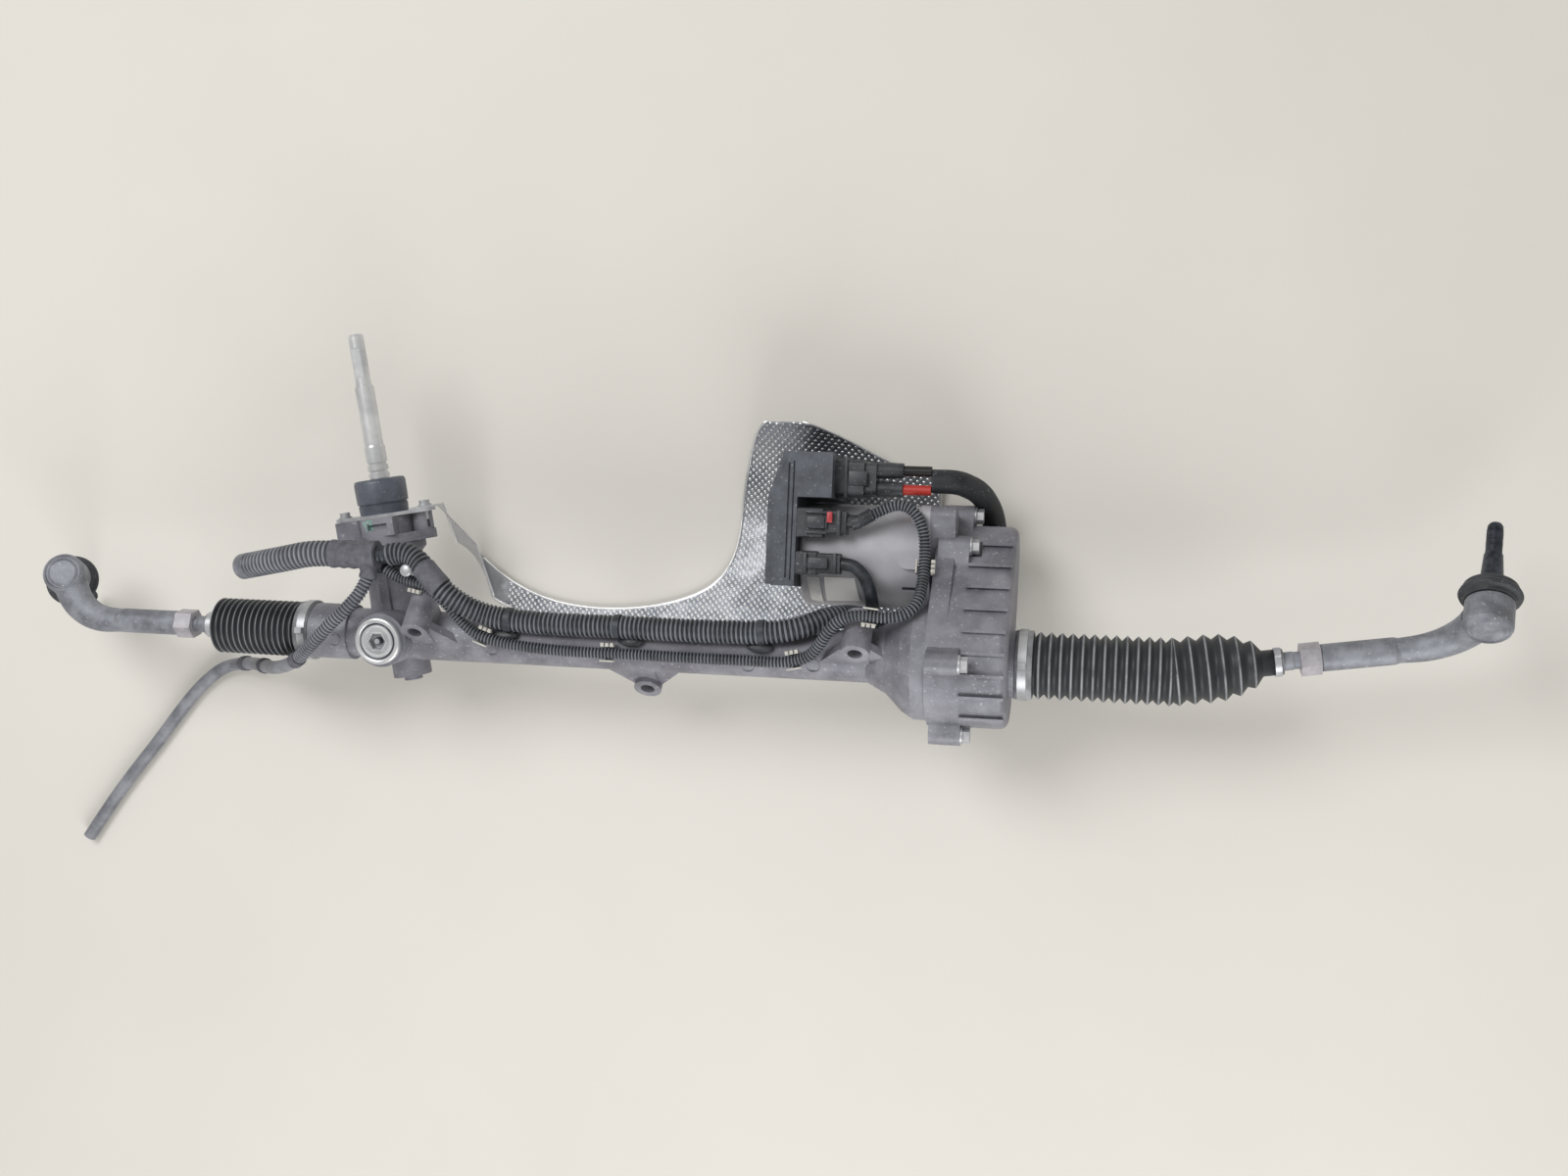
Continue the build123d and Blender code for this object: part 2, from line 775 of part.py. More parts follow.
bearing_low = joint_x - 23
with BuildPart() as nut_bearing:
    turned(across(0), tube_outline(nut_radius + run_gap, 31, bearing_low, bearing_low + 14))
    turned(across(0), tube_outline(36, 40 - seat_gap, bearing_low, bearing_low + 14))
    with Locations(across(bearing_low + 7)):
        with PolarLocations(33.5, 14):
            Sphere(2.4)

nut_pulley_radius = nut_teeth * belt_pitch / (2 * pi)
motor_pulley_radius = motor_teeth * belt_pitch / (2 * pi)
with BuildPart() as nut_pulley:
    turned(
        across(0),
        tube_outline(nut_radius + seat_gap, nut_pulley_radius, belt_x - 1, belt_x + belt_width + 1),
    )
    with Locations(across(belt_x + belt_width + 1)):
        with PolarLocations(35.5, 6):
            Hole(4.5, depth=belt_width + 2)
nut_pulley.part.label = "nut_pulley"
export_step(nut_pulley.part, "parts/nut_pulley.step")

belt_gap = 0.3
with BuildPart() as drive_belt:
    outer_nut = nut_pulley_radius + belt_gap + belt_height
    outer_motor = motor_pulley_radius + belt_gap + belt_height
    two_circle_case(across(belt_x), outer_nut, outer_motor, belt_width)
    two_circle_case(
        across(belt_x - 1),
        nut_pulley_radius + belt_gap,
        motor_pulley_radius + belt_gap,
        belt_width + 2,
        Mode.SUBTRACT,
    )
drive_belt.part.label = "drive_belt"
export_step(drive_belt.part, "parts/drive_belt.step")

# Motor: can, stator, rotor, bearings and pulley
spindle = across(0, motor_y, motor_z)
stator_inner = 29
bearing_bore = 14
with BuildPart() as motor_housing:
    turned(spindle, tube_outline(0, motor_radius, motor_left, motor_right))
    edge = motor_housing.edges().group_by(Axis.X)[0]
    fillet(edge, 3)
    for spot in motor_bolt_spots:
        with BuildSketch(across(motor_right - 8)) as ear:
            with Locations(spot):
                Circle(ear_radius)
            with Locations((motor_y, motor_z)):
                Circle(30)
            make_hull()
        extrude(ear.sketch, amount=8)
    turned(spindle, tube_outline(0, 17.9, motor_right - 1, motor_right + 3))
    # flat boss on the front of the can
    with BuildSketch(level(motor_z + 20)) as boss:
        with Locations((229, 83)):
            SlotOverall(24, 16)
    extrude(boss.sketch, amount=27)
    turned(
        spindle,
        [
            (0, motor_left + can_wall),
            (motor_radius - can_wall, motor_left + can_wall),
            (motor_radius - can_wall, motor_right - 12),
            (bearing_bore, motor_right - 12),
            (bearing_bore, motor_right - 4),
            (8, motor_right - 4),
            (8, motor_right + 4),
            (0, motor_right + 4),
        ],
        Mode.SUBTRACT,
    )
    for spot in motor_bolt_spots:
        with BuildSketch(across(motor_right - 9)) as hole:
            with Locations(spot):
                Circle(bolt_shank + seat_gap)
        extrude(hole.sketch, amount=10, mode=Mode.SUBTRACT)
motor_housing.part.label = "motor_housing"
export_step(motor_housing.part, "parts/motor_housing.step")

stack_low = motor_left + 22
stack_high = motor_right - 26
with BuildPart() as motor_stator:
    with BuildSketch(spindle.offset(stack_low)) as laminations:
        Circle(motor_radius - can_wall - seat_gap)
        Circle(stator_inner, mode=Mode.SUBTRACT)
        with PolarLocations(stator_inner + 4, 12):
            Rectangle(7, 5, mode=Mode.SUBTRACT)
    extrude(laminations.sketch, amount=stack_high - stack_low)
motor_stator.part.label = "motor_stator"
export_step(motor_stator.part, "parts/motor_stator.step")

with BuildPart() as motor_rotor:
    turned(
        spindle,
        [
            (0, motor_left + can_wall + 2),
            (shaft_radius, motor_left + can_wall + 2),
            (shaft_radius, stack_low),
            (stator_inner - 0.6, stack_low),
            (stator_inner - 0.6, stack_high),
            (shaft_radius, stack_high),
            (shaft_radius, belt_x + belt_width + 3),
            (0, belt_x + belt_width + 3),
        ],
    )
motor_rotor.part.label = "motor_rotor"
export_step(motor_rotor.part, "parts/motor_rotor.step")

with BuildPart() as motor_bearings:
    turned(
        spindle,
        tube_outline(shaft_radius + run_gap, bearing_bore - seat_gap, motor_right - 12, motor_right - 4.1),
    )
    left_end = motor_left + can_wall + seat_gap
    turned(spindle, tube_outline(shaft_radius + run_gap, bearing_bore, left_end, left_end + 9))

with BuildPart() as motor_pulley:
    turned(
        spindle,
        tube_outline(shaft_radius + seat_gap, motor_pulley_radius, belt_x - 1, belt_x + belt_width + 1),
    )
motor_pulley.part.label = "motor_pulley"
export_step(motor_pulley.part, "parts/motor_pulley.step")

# One file for the bearings, which all sit in the housing
with BuildPart() as bearings:
    add(pinion_bearings.part)
    add(nut_bearing.part)
    add(motor_bearings.part)
bearings.part.label = "bearings"
export_step(bearings.part, "parts/bearings.step")


# Control unit: a cast box on the motor's end, a lid, and the circuit board between them
lid_gauge = 5
ecu_depth = ecu_high_z - ecu_low_z
slope_y = 131
slope_x = 12
with BuildPart() as ecu_housing:
    with BuildSketch(level(ecu_low_z)) as base:
        with BuildLine():
            Polyline(
                (ecu_left + lid_gauge + seat_gap, ecu_bottom_y),
                (ecu_left + lid_gauge + seat_gap, slope_y),
                (ecu_left + lid_gauge + slope_x, ecu_top_y),
                (ecu_right + 29, ecu_top_y),
                (ecu_right + 29, ecu_top_y - 38),
                (ecu_right, ecu_top_y - 38),
                (ecu_right, ecu_bottom_y),
                close=True,
            )
        make_face()
    extrude(base.sketch, amount=ecu_depth)
    # hollow for the board, open towards the lid
    with BuildSketch(level(ecu_low_z + 5)) as hollow:
        with Locations((ecu_left + 11, (ecu_bottom_y + slope_y) / 2)):
            Rectangle(14, slope_y - ecu_bottom_y - 10)
    extrude(hollow.sketch, amount=ecu_depth - 10, mode=Mode.SUBTRACT)
    # cooling grooves on the face that looks away from the floor
    with BuildSketch(level(ecu_high_z - 2)) as grooves:
        with Locations((ecu_left + 17.5, ecu_bottom_y + 55)):
            Rectangle(1.6, 96)
        with Locations((ecu_left + 21.5, ecu_bottom_y + 55)):
            Rectangle(1.2, 100)
    extrude(grooves.sketch, amount=3, mode=Mode.SUBTRACT)
ecu_housing.part.label = "ecu_housing"
export_step(ecu_housing.part, "parts/ecu_housing.step")

with BuildPart() as ecu_cover:
    with BuildSketch(level(ecu_low_z + 1)) as lid:
        with BuildLine():
            Polyline(
                (ecu_left, ecu_bottom_y + 1),
                (ecu_left, slope_y),
                (ecu_left + slope_x, ecu_top_y),
                (ecu_left + lid_gauge + slope_x - seat_gap, ecu_top_y),
                (ecu_left + lid_gauge, slope_y),
                (ecu_left + lid_gauge, ecu_bottom_y + 1),
                close=True,
            )
        make_face()
    extrude(lid.sketch, amount=ecu_depth - 2)
ecu_cover.part.label = "ecu_cover"
export_step(ecu_cover.part, "parts/ecu_cover.step")

with BuildPart() as circuit_board:
    with BuildSketch(level(ecu_low_z + 5 + seat_gap)) as board:
        with Locations((ecu_left + 12, (ecu_bottom_y + slope_y) / 2)):
            Rectangle(1.6, slope_y - ecu_bottom_y - 12)
    extrude(board.sketch, amount=ecu_depth - 10 - 2 * seat_gap)
circuit_board.part.label = "circuit_board"
export_step(circuit_board.part, "parts/circuit_board.step")

# Plugs on the control unit
plug_gap = 0.1
power_x = ecu_right + 29 + plug_gap
power_y = 150
power_z = -16
wire_spots = [(-8, 2), (8, 2)]
with BuildPart() as power_plug:
    with BuildSketch(across(power_x, power_y, power_z)) as block:
        RectangleRounded(31, 30, 4)
    extrude(block.sketch, amount=24)
    with BuildSketch(across(power_x + 24, power_y, power_z)) as neck:
        RectangleRounded(27, 24, 4)
    extrude(neck.sketch, amount=10)
    with BuildSketch(across(power_x + 34, power_y, power_z)) as seals:
        with Locations(*wire_spots):
            Circle(7.2)
    extrude(seals.sketch, amount=22, taper=2)
power_plug.part.label = "power_plug"
export_step(power_plug.part, "parts/power_plug.step")

wire_start = power_x + 56 + plug_gap
sleeve_start = 241
with BuildPart() as power_wires:
    with BuildSketch(across(wire_start, power_y, power_z)) as wires:
        with Locations(*wire_spots):
            Circle(4.4)
    extrude(wires.sketch, amount=sleeve_start - wire_start - plug_gap)
power_wires.part.label = "power_wires"
export_step(power_wires.part, "parts/power_wires.step")

signal_x = ecu_right + plug_gap
with BuildPart() as signal_plug:
    with BuildSketch(across(signal_x, 111, 8)) as block:
        RectangleRounded(25, 15, 2.5)
    extrude(block.sketch, amount=22)
    with BuildSketch(across(signal_x + 22, 112, 8)) as body:
        RectangleRounded(19, 12, 2)
    extrude(body.sketch, amount=18)
    with BuildSketch(across(signal_x + 40, 113, 8)) as shell:
        Circle(6)
    extrude(shell.sketch, amount=12, taper=4)
    with BuildSketch(across(signal_x + 12, 111, 15)) as latch:
        Rectangle(9, 5)
    extrude(latch.sketch, amount=14)
signal_plug.part.label = "signal_plug"
export_step(signal_plug.part, "parts/signal_plug.step")

with BuildPart() as sensor_plug:
    with BuildSketch(across(signal_x, 77, 8)) as block:
        RectangleRounded(20, 14, 2.5)
    extrude(block.sketch, amount=18)
    with BuildSketch(across(signal_x + 18, 77, 8)) as body:
        RectangleRounded(17, 12, 2)
    extrude(body.sketch, amount=20)
    with BuildSketch(across(signal_x + 8, 77, 14)) as latch:
        Rectangle(8, 5)
    extrude(latch.sketch, amount=16)
sensor_plug.part.label = "sensor_plug"
export_step(sensor_plug.part, "parts/sensor_plug.step")

# Ball joints. Each rod plane starts at the inner ball: height runs out along the rod,
# and the sketch x axis points the way the rod end is cranked.
def rod_plane(x, way, swing, roll):
    """Plane of a tie rod, from its inner ball, its swing in plan and its roll."""
    turn, twist = radians(swing), radians(roll)
    along = Vector(way * cos(turn), sin(turn), 0)
    aside = Vector(-way * sin(turn) * cos(twist), cos(turn) * cos(twist), sin(twist))
    return Plane(origin=place(x, 0, 0), x_dir=aside, z_dir=along)


def in_rod(rod, aside, along, up=0):
    """A point given in a rod plane."""
    return rod.origin + rod.x_dir * aside + rod.z_dir * along + rod.y_dir * up


left_rod = rod_plane(inner_left_x, -1, 0, left_roll)
right_rod = rod_plane(inner_right_x, 1, right_swing, right_roll)
left_socket_plane = Plane(origin=left_rod.origin, x_dir=(0, 1, 0), z_dir=(-1, 0, 0))
right_socket_plane = Plane(origin=right_rod.origin, x_dir=(0, 1, 0), z_dir=(1, 0, 0))
socket_hollow = inner_ball + ball_gap + inner_cup + ball_gap
socket_mouth = 54
cup_mouth = 50
vent_angle = 8
socket_front = 12


def ball_hollow(plane, radius, angle, reach):
    """Cut a round hollow whose mouth opens as a cone about the plane's normal."""
    with BuildSketch(half_of(plane)) as profile:
        with BuildLine():
            wall = CenterArc((0, 0), radius, -90, 180 - angle)
            rim = (reach * tan(radians(angle)), reach)
            Polyline(wall @ 1, rim, (0, reach), wall @ 0)
        make_face()
    revolve(profile.sketch, axis=Axis(plane.origin, plane.z_dir), mode=Mode.SUBTRACT)


def ball_seat(plane, inner, outer, angle):
    """Plastic seat round a ball: mouth about the plane's normal, small grease hole behind."""
    with BuildSketch(half_of(plane)) as profile:
        with BuildLine():
            back = CenterArc((0, 0), outer, vent_angle - 90, 180 - angle - vent_angle)
            front = CenterArc((0, 0), inner, vent_angle - 90, 180 - angle - vent_angle)
            Line(back @ 0, front @ 0)
            Line(back @ 1, front @ 1)
        make_face()
    revolve(profile.sketch, axis=Axis(plane.origin, plane.z_dir))


def ball_and_stem(plane, radius, stem):
    """Ball with a stem; the stem is (radius, height) points, from its foot on the ball."""
    foot = stem[0][0]
    angle = degrees(asin(foot / radius))
    with BuildSketch(half_of(plane)) as profile:
        with BuildLine():
            skin = CenterArc((0, 0), radius, -90, 180 - angle)
            Polyline(skin @ 1, *stem, skin @ 0)
        make_face()
    revolve(profile.sketch, axis=Axis(plane.origin, plane.z_dir))


rod_parts = (
    ("left", left_rod, left_socket_plane, 1, left_head_lean),
    ("right", right_rod, right_socket_plane, -1, right_head_lean),
)
socket_pieces = []
for side, rod, socket_plane, stud_side, head_lean in rod_parts:
    with BuildPart() as inner_socket:
        turned(
            socket_plane,
            [
                (0, -socket_back + seat_gap),
                (socket_radius - 2, -socket_back + seat_gap),
                (socket_radius, -socket_back + 2),
                (socket_radius, 6),
                (16, socket_front),
                (0, socket_front),
            ],
        )
        turned(
            socket_plane,
            tube_outline(0, socket_screw, -socket_back - screw_depth + 1, -socket_back + 1),
        )
        # two flats for the wrench
        with BuildSketch(socket_plane.offset(-socket_back)) as flats:
            with Locations((socket_radius, 0), (-socket_radius, 0)):
                Rectangle(4, 40)
        extrude(flats.sketch, amount=12, mode=Mode.SUBTRACT)
        ball_hollow(socket_plane, socket_hollow, socket_mouth, 20)
    socket_pieces.append(inner_socket.part)

    with BuildPart() as inner_seat:
        ball_seat(socket_plane, inner_ball + ball_gap, socket_hollow - ball_gap, cup_mouth)
    inner_seat.part.label = f"{side}_inner_seat"
    export_step(inner_seat.part, f"parts/{side}_inner_seat.step")

# Tie rods: ball, waisted neck, plain rod with the clip groove, and the end that is threaded
nut_low = 100
nut_high = 116
thread_end = 150
thread_radius = 7
clip_low = 78
for side, rod, socket_plane, stud_side, head_lean in rod_parts:
    with BuildPart() as tie_rod:
        ball_and_stem(
            rod,
            inner_ball,
            [
                (6.3, 22),
                (rod_radius, 30),
                (rod_radius, clip_low),
                (rod_radius - 0.6, clip_low + 0.6),
                (rod_radius - 0.6, clip_low + 8),
                (rod_radius, clip_low + 8.6),
                (rod_radius, nut_low - 6),
                (thread_radius, nut_low - 4),
                (thread_radius, thread_end),
                (0, thread_end),
            ],
        )
    tie_rod.part.label = f"{side}_tie_rod"
    export_step(tie_rod.part, f"parts/{side}_tie_rod.step")

    with BuildPart() as lock_nut:
        with BuildSketch(rod.offset(nut_low)) as hexagon:
            RegularPolygon(11.5, 6, major_radius=False)
            Circle(thread_radius + seat_gap, mode=Mode.SUBTRACT)
        extrude(hexagon.sketch, amount=nut_high - nut_low - seat_gap)
    lock_nut.part.label = f"{side}_lock_nut"
    export_step(lock_nut.part, f"parts/{side}_lock_nut.step")

# Rod ends: a shank, a cranked arm in the plane square to the stud, and the round head
head_hollow = outer_ball + ball_gap + outer_cup + ball_gap
arm_start = 172
outer_mouth = 52
outer_cup_mouth = 46
for side, rod, socket_plane, stud_side, head_lean in rod_parts:
    flat = Plane(origin=rod.origin, x_dir=rod.z_dir, z_dir=rod.y_dir)
    centre = in_rod(rod, rod_crank, rod_reach)
    turn = radians(head_lean)
    stud_way = rod.y_dir * stud_side * cos(turn) + rod.z_dir * sin(turn)
    outward = rod.z_dir * cos(turn) - rod.y_dir * stud_side * sin(turn)
    stud_plane = Plane(origin=centre, x_dir=outward, z_dir=stud_way)
    with BuildPart() as rod_end:
        turned(
            rod,
            [
                (0, nut_high),
                (end_radius - 1, nut_high),
                (end_radius, nut_high + 1),
                (end_radius, arm_start),
                (end_radius - 1.5, arm_start + 6),
                (0, arm_start + 6),
            ],
        )
        # the arm thickens from the shank to the head
        with BuildLine(flat) as arm:
            start = Line((arm_start, 0), (arm_start + 14, 0))
            TangentArc(start @ 1, (rod_reach - 6, rod_crank - 8), tangent=start % 1)
        arm_end = (arm.line % 1).normalized()
        with BuildSketch(rod.offset(arm_start)):
            Ellipse(end_radius - 0.5, end_radius - 1.5)
        with BuildSketch(Plane(origin=arm.line @ 1, x_dir=rod.y_dir.cross(arm_end), z_dir=arm_end)):
            Ellipse(neck_width / 2, neck_width / 2 - 2.5)
        sweep(multisection=True)
        turned(
            stud_plane,
            [
                (0, -head_low - 1),
                (11, -head_low - 1),
                (13.5, -head_low + 0.6),
                (14.5, -head_low + 0.6),
                (15.5, -head_low - 0.6),
                (head_radius - 1.2, -head_low + 1.2),
                (head_radius, -head_low + 4),
                (head_radius, head_high - 4),
                (head_radius - 2, head_high - 3),
                (head_radius - 2, head_high),
                (0, head_high),
            ],
        )
        turned(rod, tube_outline(0, thread_radius + seat_gap, nut_high - 1, thread_end + 4), Mode.SUBTRACT)
        ball_hollow(stud_plane, head_hollow, outer_mouth, 20)
    rod_end.part.label = f"{side}_rod_end"
    export_step(rod_end.part, f"parts/{side}_rod_end.step")

    with BuildPart() as outer_seat:
        ball_seat(stud_plane, outer_ball + ball_gap, head_hollow - ball_gap, outer_cup_mouth)
    outer_seat.part.label = f"{side}_outer_seat"
    export_step(outer_seat.part, f"parts/{side}_outer_seat.step")

    # stud: ball, neck, 1 to 10 taper and the threaded end with its hexagon socket
    with BuildPart() as ball_stud:
        ball_and_stem(
            stud_plane,
            outer_ball,
            [
                (6.2, 18),
                (8.2, 24),
                (9, 27),
                (9, 29),
                (7.2, 56),
                (6, 57),
                (6, stud_length - 2),
                (5, stud_length),
                (0, stud_length),
            ],
        )
        with BuildSketch(stud_plane.offset(stud_length - 5)) as hex_hole:
            RegularPolygon(3, 6)
        extrude(hex_hole.sketch, amount=6, mode=Mode.SUBTRACT)
    ball_stud.part.label = f"{side}_ball_stud"
    export_step(ball_stud.part, f"parts/{side}_ball_stud.step")

    # rubber boot: a thin bellied bag from the head's rim to the stud's taper
    boot_rim = head_radius - 2 + free_gap
    boot_low = head_high - 3 + free_gap
    with BuildPart() as dust_boot:
        turned(
            stud_plane,
            [
                (boot_rim, boot_low),
                (boot_rim + 2.4, boot_low),
                (boot_rim + 2.8, boot_low + 3),
                (boot_radius, boot_low + 4.5),
                (boot_radius + 0.8, boot_low + 6.5),
                (boot_radius, boot_low + 8.5),
                (boot_radius - 2.5, boot_low + 9.6),
                (boot_radius - 1.6, boot_low + 11.5),
                (boot_radius - 2.4, boot_low + 13.6),
                (17, boot_low + 16),
                (13, boot_low + 18),
                (11.6, boot_low + 19),
                (9.6, boot_low + 19),
                (9.6, boot_low + 16.4),
                (15.5, boot_low + 14),
                (boot_radius - 3.8, boot_low + 11.6),
                (boot_radius - 4.6, boot_low + 9.6),
                (boot_radius - 2, boot_low + 7.2),
                (boot_radius - 2, boot_low + 6),
                (boot_rim, boot_low + 4.6),
            ],
        )
    dust_boot.part.label = f"{side}_boot"
    export_step(dust_boot.part, f"parts/{side}_boot.step")


def bellows_wave(low, high, folds, valley, crest):
    """Zigzag of (radius, height) points; valley and crest give a radius at a height."""
    spots = []
    for fold in range(folds):
        start = low + (high - low) * fold / folds
        peak = low + (high - low) * (fold + 0.5) / folds
        spots += [(valley(start), start), (crest(peak), peak)]
    return spots + [(valley(high), high)]


# Bellows: thin folded tubes from the housing's necks to the rods
left_folds = 15
cuff = 2.6
small_cuff = 9
inner_fit = rod_radius + free_gap
left_small_end = inner_left_x - clip_low - small_cuff
big_fit = neck_radius + free_gap
fold_end = neck_left - 2.4
with BuildPart() as left_bellows:
    start = left_small_end + small_cuff
    outline = [(0, left_small_end), (inner_fit + cuff, left_small_end), (inner_fit + cuff, start)]
    outline += bellows_wave(start + 3, fold_end, left_folds, lambda x: 20.5, lambda x: 24.8)
    outline += [(big_fit + cuff, fold_end + 1), (big_fit + cuff, collar_left - free_gap)]
    outline += [(0, collar_left - free_gap)]
    turned(across(0), outline)
    turned(
        across(0),
        [
            (0, left_small_end - 1),
            (inner_fit, left_small_end - 1),
            (inner_fit, start + 1),
            (19.4, start + 5),
            (19.4, fold_end + 1.2),
            (big_fit, fold_end + 2.2),
            (big_fit, collar_left),
            (0, collar_left),
        ],
        Mode.SUBTRACT,
    )
left_bellows.part.label = "left_bellows"
export_step(left_bellows.part, "parts/left_bellows.step")

# The right bellows bends with its rod past the ball, and tapers to the rod's clip groove
straight_folds = 13
tilted_folds = 6
right_fit = right_neck_radius + free_gap
right_start = neck_right + 2.4
bend_overlap = 3
end_height = clip_low - 8
with BuildPart() as right_bellows:
    outline = [(right_fit, neck_right + free_gap), (right_fit, right_collar + free_gap)]
    outline += [(right_fit + cuff, right_collar + free_gap), (right_fit + cuff, right_start - 1)]
    wave_end = inner_right_x + bend_overlap
    outline += bellows_wave(right_start, wave_end, straight_folds, lambda x: 23.5, lambda x: 28)
    outline += [(0, wave_end), (0, neck_right + free_gap)]
    turned(across(0), outline)
    fade = lambda x: 23.5 - 12 * max(0, (x - 30) / (end_height - 30)) ** 2
    outline = [(0, -bend_overlap)]
    outline += bellows_wave(-bend_overlap, end_height, tilted_folds, fade, lambda x: fade(x) + 4.5)
    outline += [(inner_fit + cuff, end_height + 1), (inner_fit + cuff, clip_low + 9)]
    outline += [(0, clip_low + 9)]
    turned(right_rod, outline)
    hollow = [(0, neck_right), (right_fit, neck_right), (22, right_start + 1)]
    hollow += [(22, inner_right_x), (0, inner_right_x)]
    turned(across(0), hollow, Mode.SUBTRACT)
    turned(
        right_rod,
        [
            (0, -bend_overlap - 1),
            (21.6, -bend_overlap - 1),
            (21.6, 26),
            (15, 52),
            (inner_fit, end_height - 2),
            (inner_fit, clip_low + 10),
            (0, clip_low + 10),
        ],
        Mode.SUBTRACT,
    )
right_bellows.part.label = "right_bellows"
export_step(right_bellows.part, "parts/right_bellows.step")

# Clamps: bands with a crimped ear on the housing's necks, spring clips on the rods
band_width = 7
with BuildPart() as bellows_bands:
    for outer, low in ((big_fit + cuff, collar_left - 9), (right_fit + cuff, right_collar + 3)):
        band = across(low)
        turned(band, tube_outline(outer + seat_gap, outer + 1.2, 0, band_width))
        with BuildSketch(band.offset(0.5)) as ear:
            with Locations((0, outer + 3)):
                Rectangle(5, 4)
        extrude(ear.sketch, amount=band_width - 1)
bellows_bands.part.label = "bellows_bands"
export_step(bellows_bands.part, "parts/bellows_bands.step")

for side, rod, socket_plane, stud_side, head_lean in rod_parts:
    with BuildPart() as rod_clip:
        clip = rod.offset(clip_low + 2)
        turned(clip, tube_outline(inner_fit + cuff + seat_gap, inner_fit + cuff + 1.3, 0, 5))
        with BuildSketch(clip) as buckle:
            with Locations((inner_fit + cuff + 3, 0)):
                Rectangle(4, 7)
        extrude(buckle.sketch, amount=5)
    rod_clip.part.label = f"{side}_rod_clip"
    export_step(rod_clip.part, f"parts/{side}_rod_clip.step")

# Heat shield: a dished pan under the drive, tied to the tower by a twisted strap
pan_edge = [(-192, 74), (-164, 53), (-125, 36), (-75, 29), (-37, 31), (9, 42), (40, 61), (55, 89), (60, 130)]
pan_edge += [(68, 168), (84, 197), (139, 196), (184, 176), (240, 160)]
pan_low = [(240, 40), (170, -2), (-60, -14), (-118, 6), (-178, 34)]
dish_top = 58
with BuildPart() as pan_blank:
    with BuildSketch(level(shield_z - 5)) as outline:
        with BuildLine():
            edge = Spline(*pan_edge)
            Polyline(edge @ 1, *pan_low, edge @ 0)
        make_face()
    extrude(outline.sketch, amount=-shield_z)
with BuildPart() as heat_shield:
    with BuildSketch(across(-200)):
        with BuildLine():
            flat_run = Line((-20, shield_z), (112, shield_z))
            TangentArc(flat_run @ 1, (200, shield_z + dish_top), tangent=flat_run % 1)
        trace(line_width=shield_gauge)
    extrude(amount=470)
    add(pan_blank.part, mode=Mode.INTERSECT)
    # raised dimples carry the control unit and the motor
    for spot, top in (((120, 96), ecu_low_z), ((196, 86), motor_z - motor_radius)):
        pad = Plane(origin=place(spot[0], spot[1], shield_z), z_dir=(0, 0, 1))
        turned(pad, [(0, 0), (11, 0), (7, top - 0.3 - shield_z), (0, top - 0.3 - shield_z)])
    # strap: a flat tab on the clamp plate that twists down to the pan
    tab = along_tower(sensor_top + plate_gauge + 2 * seat_gap)
    with BuildSketch(tab) as tab_plate:
        with Locations((ear_reach + 4, -4)):
            Rectangle(24, 14)
        with Locations(ear_screws[1]):
            Circle(ear_screw_radius + seat_gap, mode=Mode.SUBTRACT)
    extrude(tab_plate.sketch, amount=shield_gauge)
    tab_edge = tab.offset(shield_gauge / 2).origin + mesh_way * (ear_reach + 15.5) - yoke_way * 4
    sections = (
        (Plane(origin=tab_edge, x_dir=yoke_way, z_dir=mesh_way), 14),
        (Plane(origin=place(-184, 84, -45), x_dir=(0.9, 0, 0.43), z_dir=(0.15, -0.55, -0.82)), 22),
        (Plane(origin=place(-184.2, 54.5, shield_z), x_dir=(0.33, -0.94, 0), z_dir=(0, 0, -1)), 40),
    )
    for upper, lower in zip(sections, sections[1:]):
        with BuildSketch(upper[0]) as start:
            Rectangle(upper[1], shield_gauge)
        with BuildSketch(lower[0]) as finish:
            Rectangle(lower[1], shield_gauge)
        loft(sections=[start.sketch, finish.sketch], ruled=True)
heat_shield.part.label = "heat_shield"
export_step(heat_shield.part, "parts/heat_shield.step")

# Both inner sockets are screwed to the rack
with BuildPart() as inner_sockets:
    for piece in socket_pieces:
        add(piece)
inner_sockets.part.label = "inner_sockets"
export_step(inner_sockets.part, "parts/inner_sockets.step")


# Harness. Each route is a list of points from the rack axis, chosen by hand.
main_route = [
    (-220, 69.5, 40),
    (-208, 72.5, 40),
    (-194, 67, 41),
    (-180, 53, 45),
    (-165, 39, 45.5),
    (-149, 28, 40),
    (-131, 20.5, 31),
    (-104, 17, 29.5),
    (-62, 16, 30),
    (-15, 16.5, 29.3),
    (35, 16, 30),
    (80, 16.5, 29.4),
    (118, 17.5, 29.5),
    (143, 23, 25.5),
    (161, 31, 12),
    (175, 34, -6),
    (189, 31, -32),
    (204, 23, -58),
    (226, 14, -78),
    (252, 16, -88),
]
sleeve_route = [
    (252.3, 16.02, -88.1),
    (267.3, 17.2, -93.9),
    (283, 31, -94.6),
    (292, 53, -94.6),
    (294.5, 80, -93.5),
    (292, 106, -88),
    (289, 128, -70),
    (280, 144, -43),
    (263, 150.2, -16.4),
    (241.6, 150, -16),
]
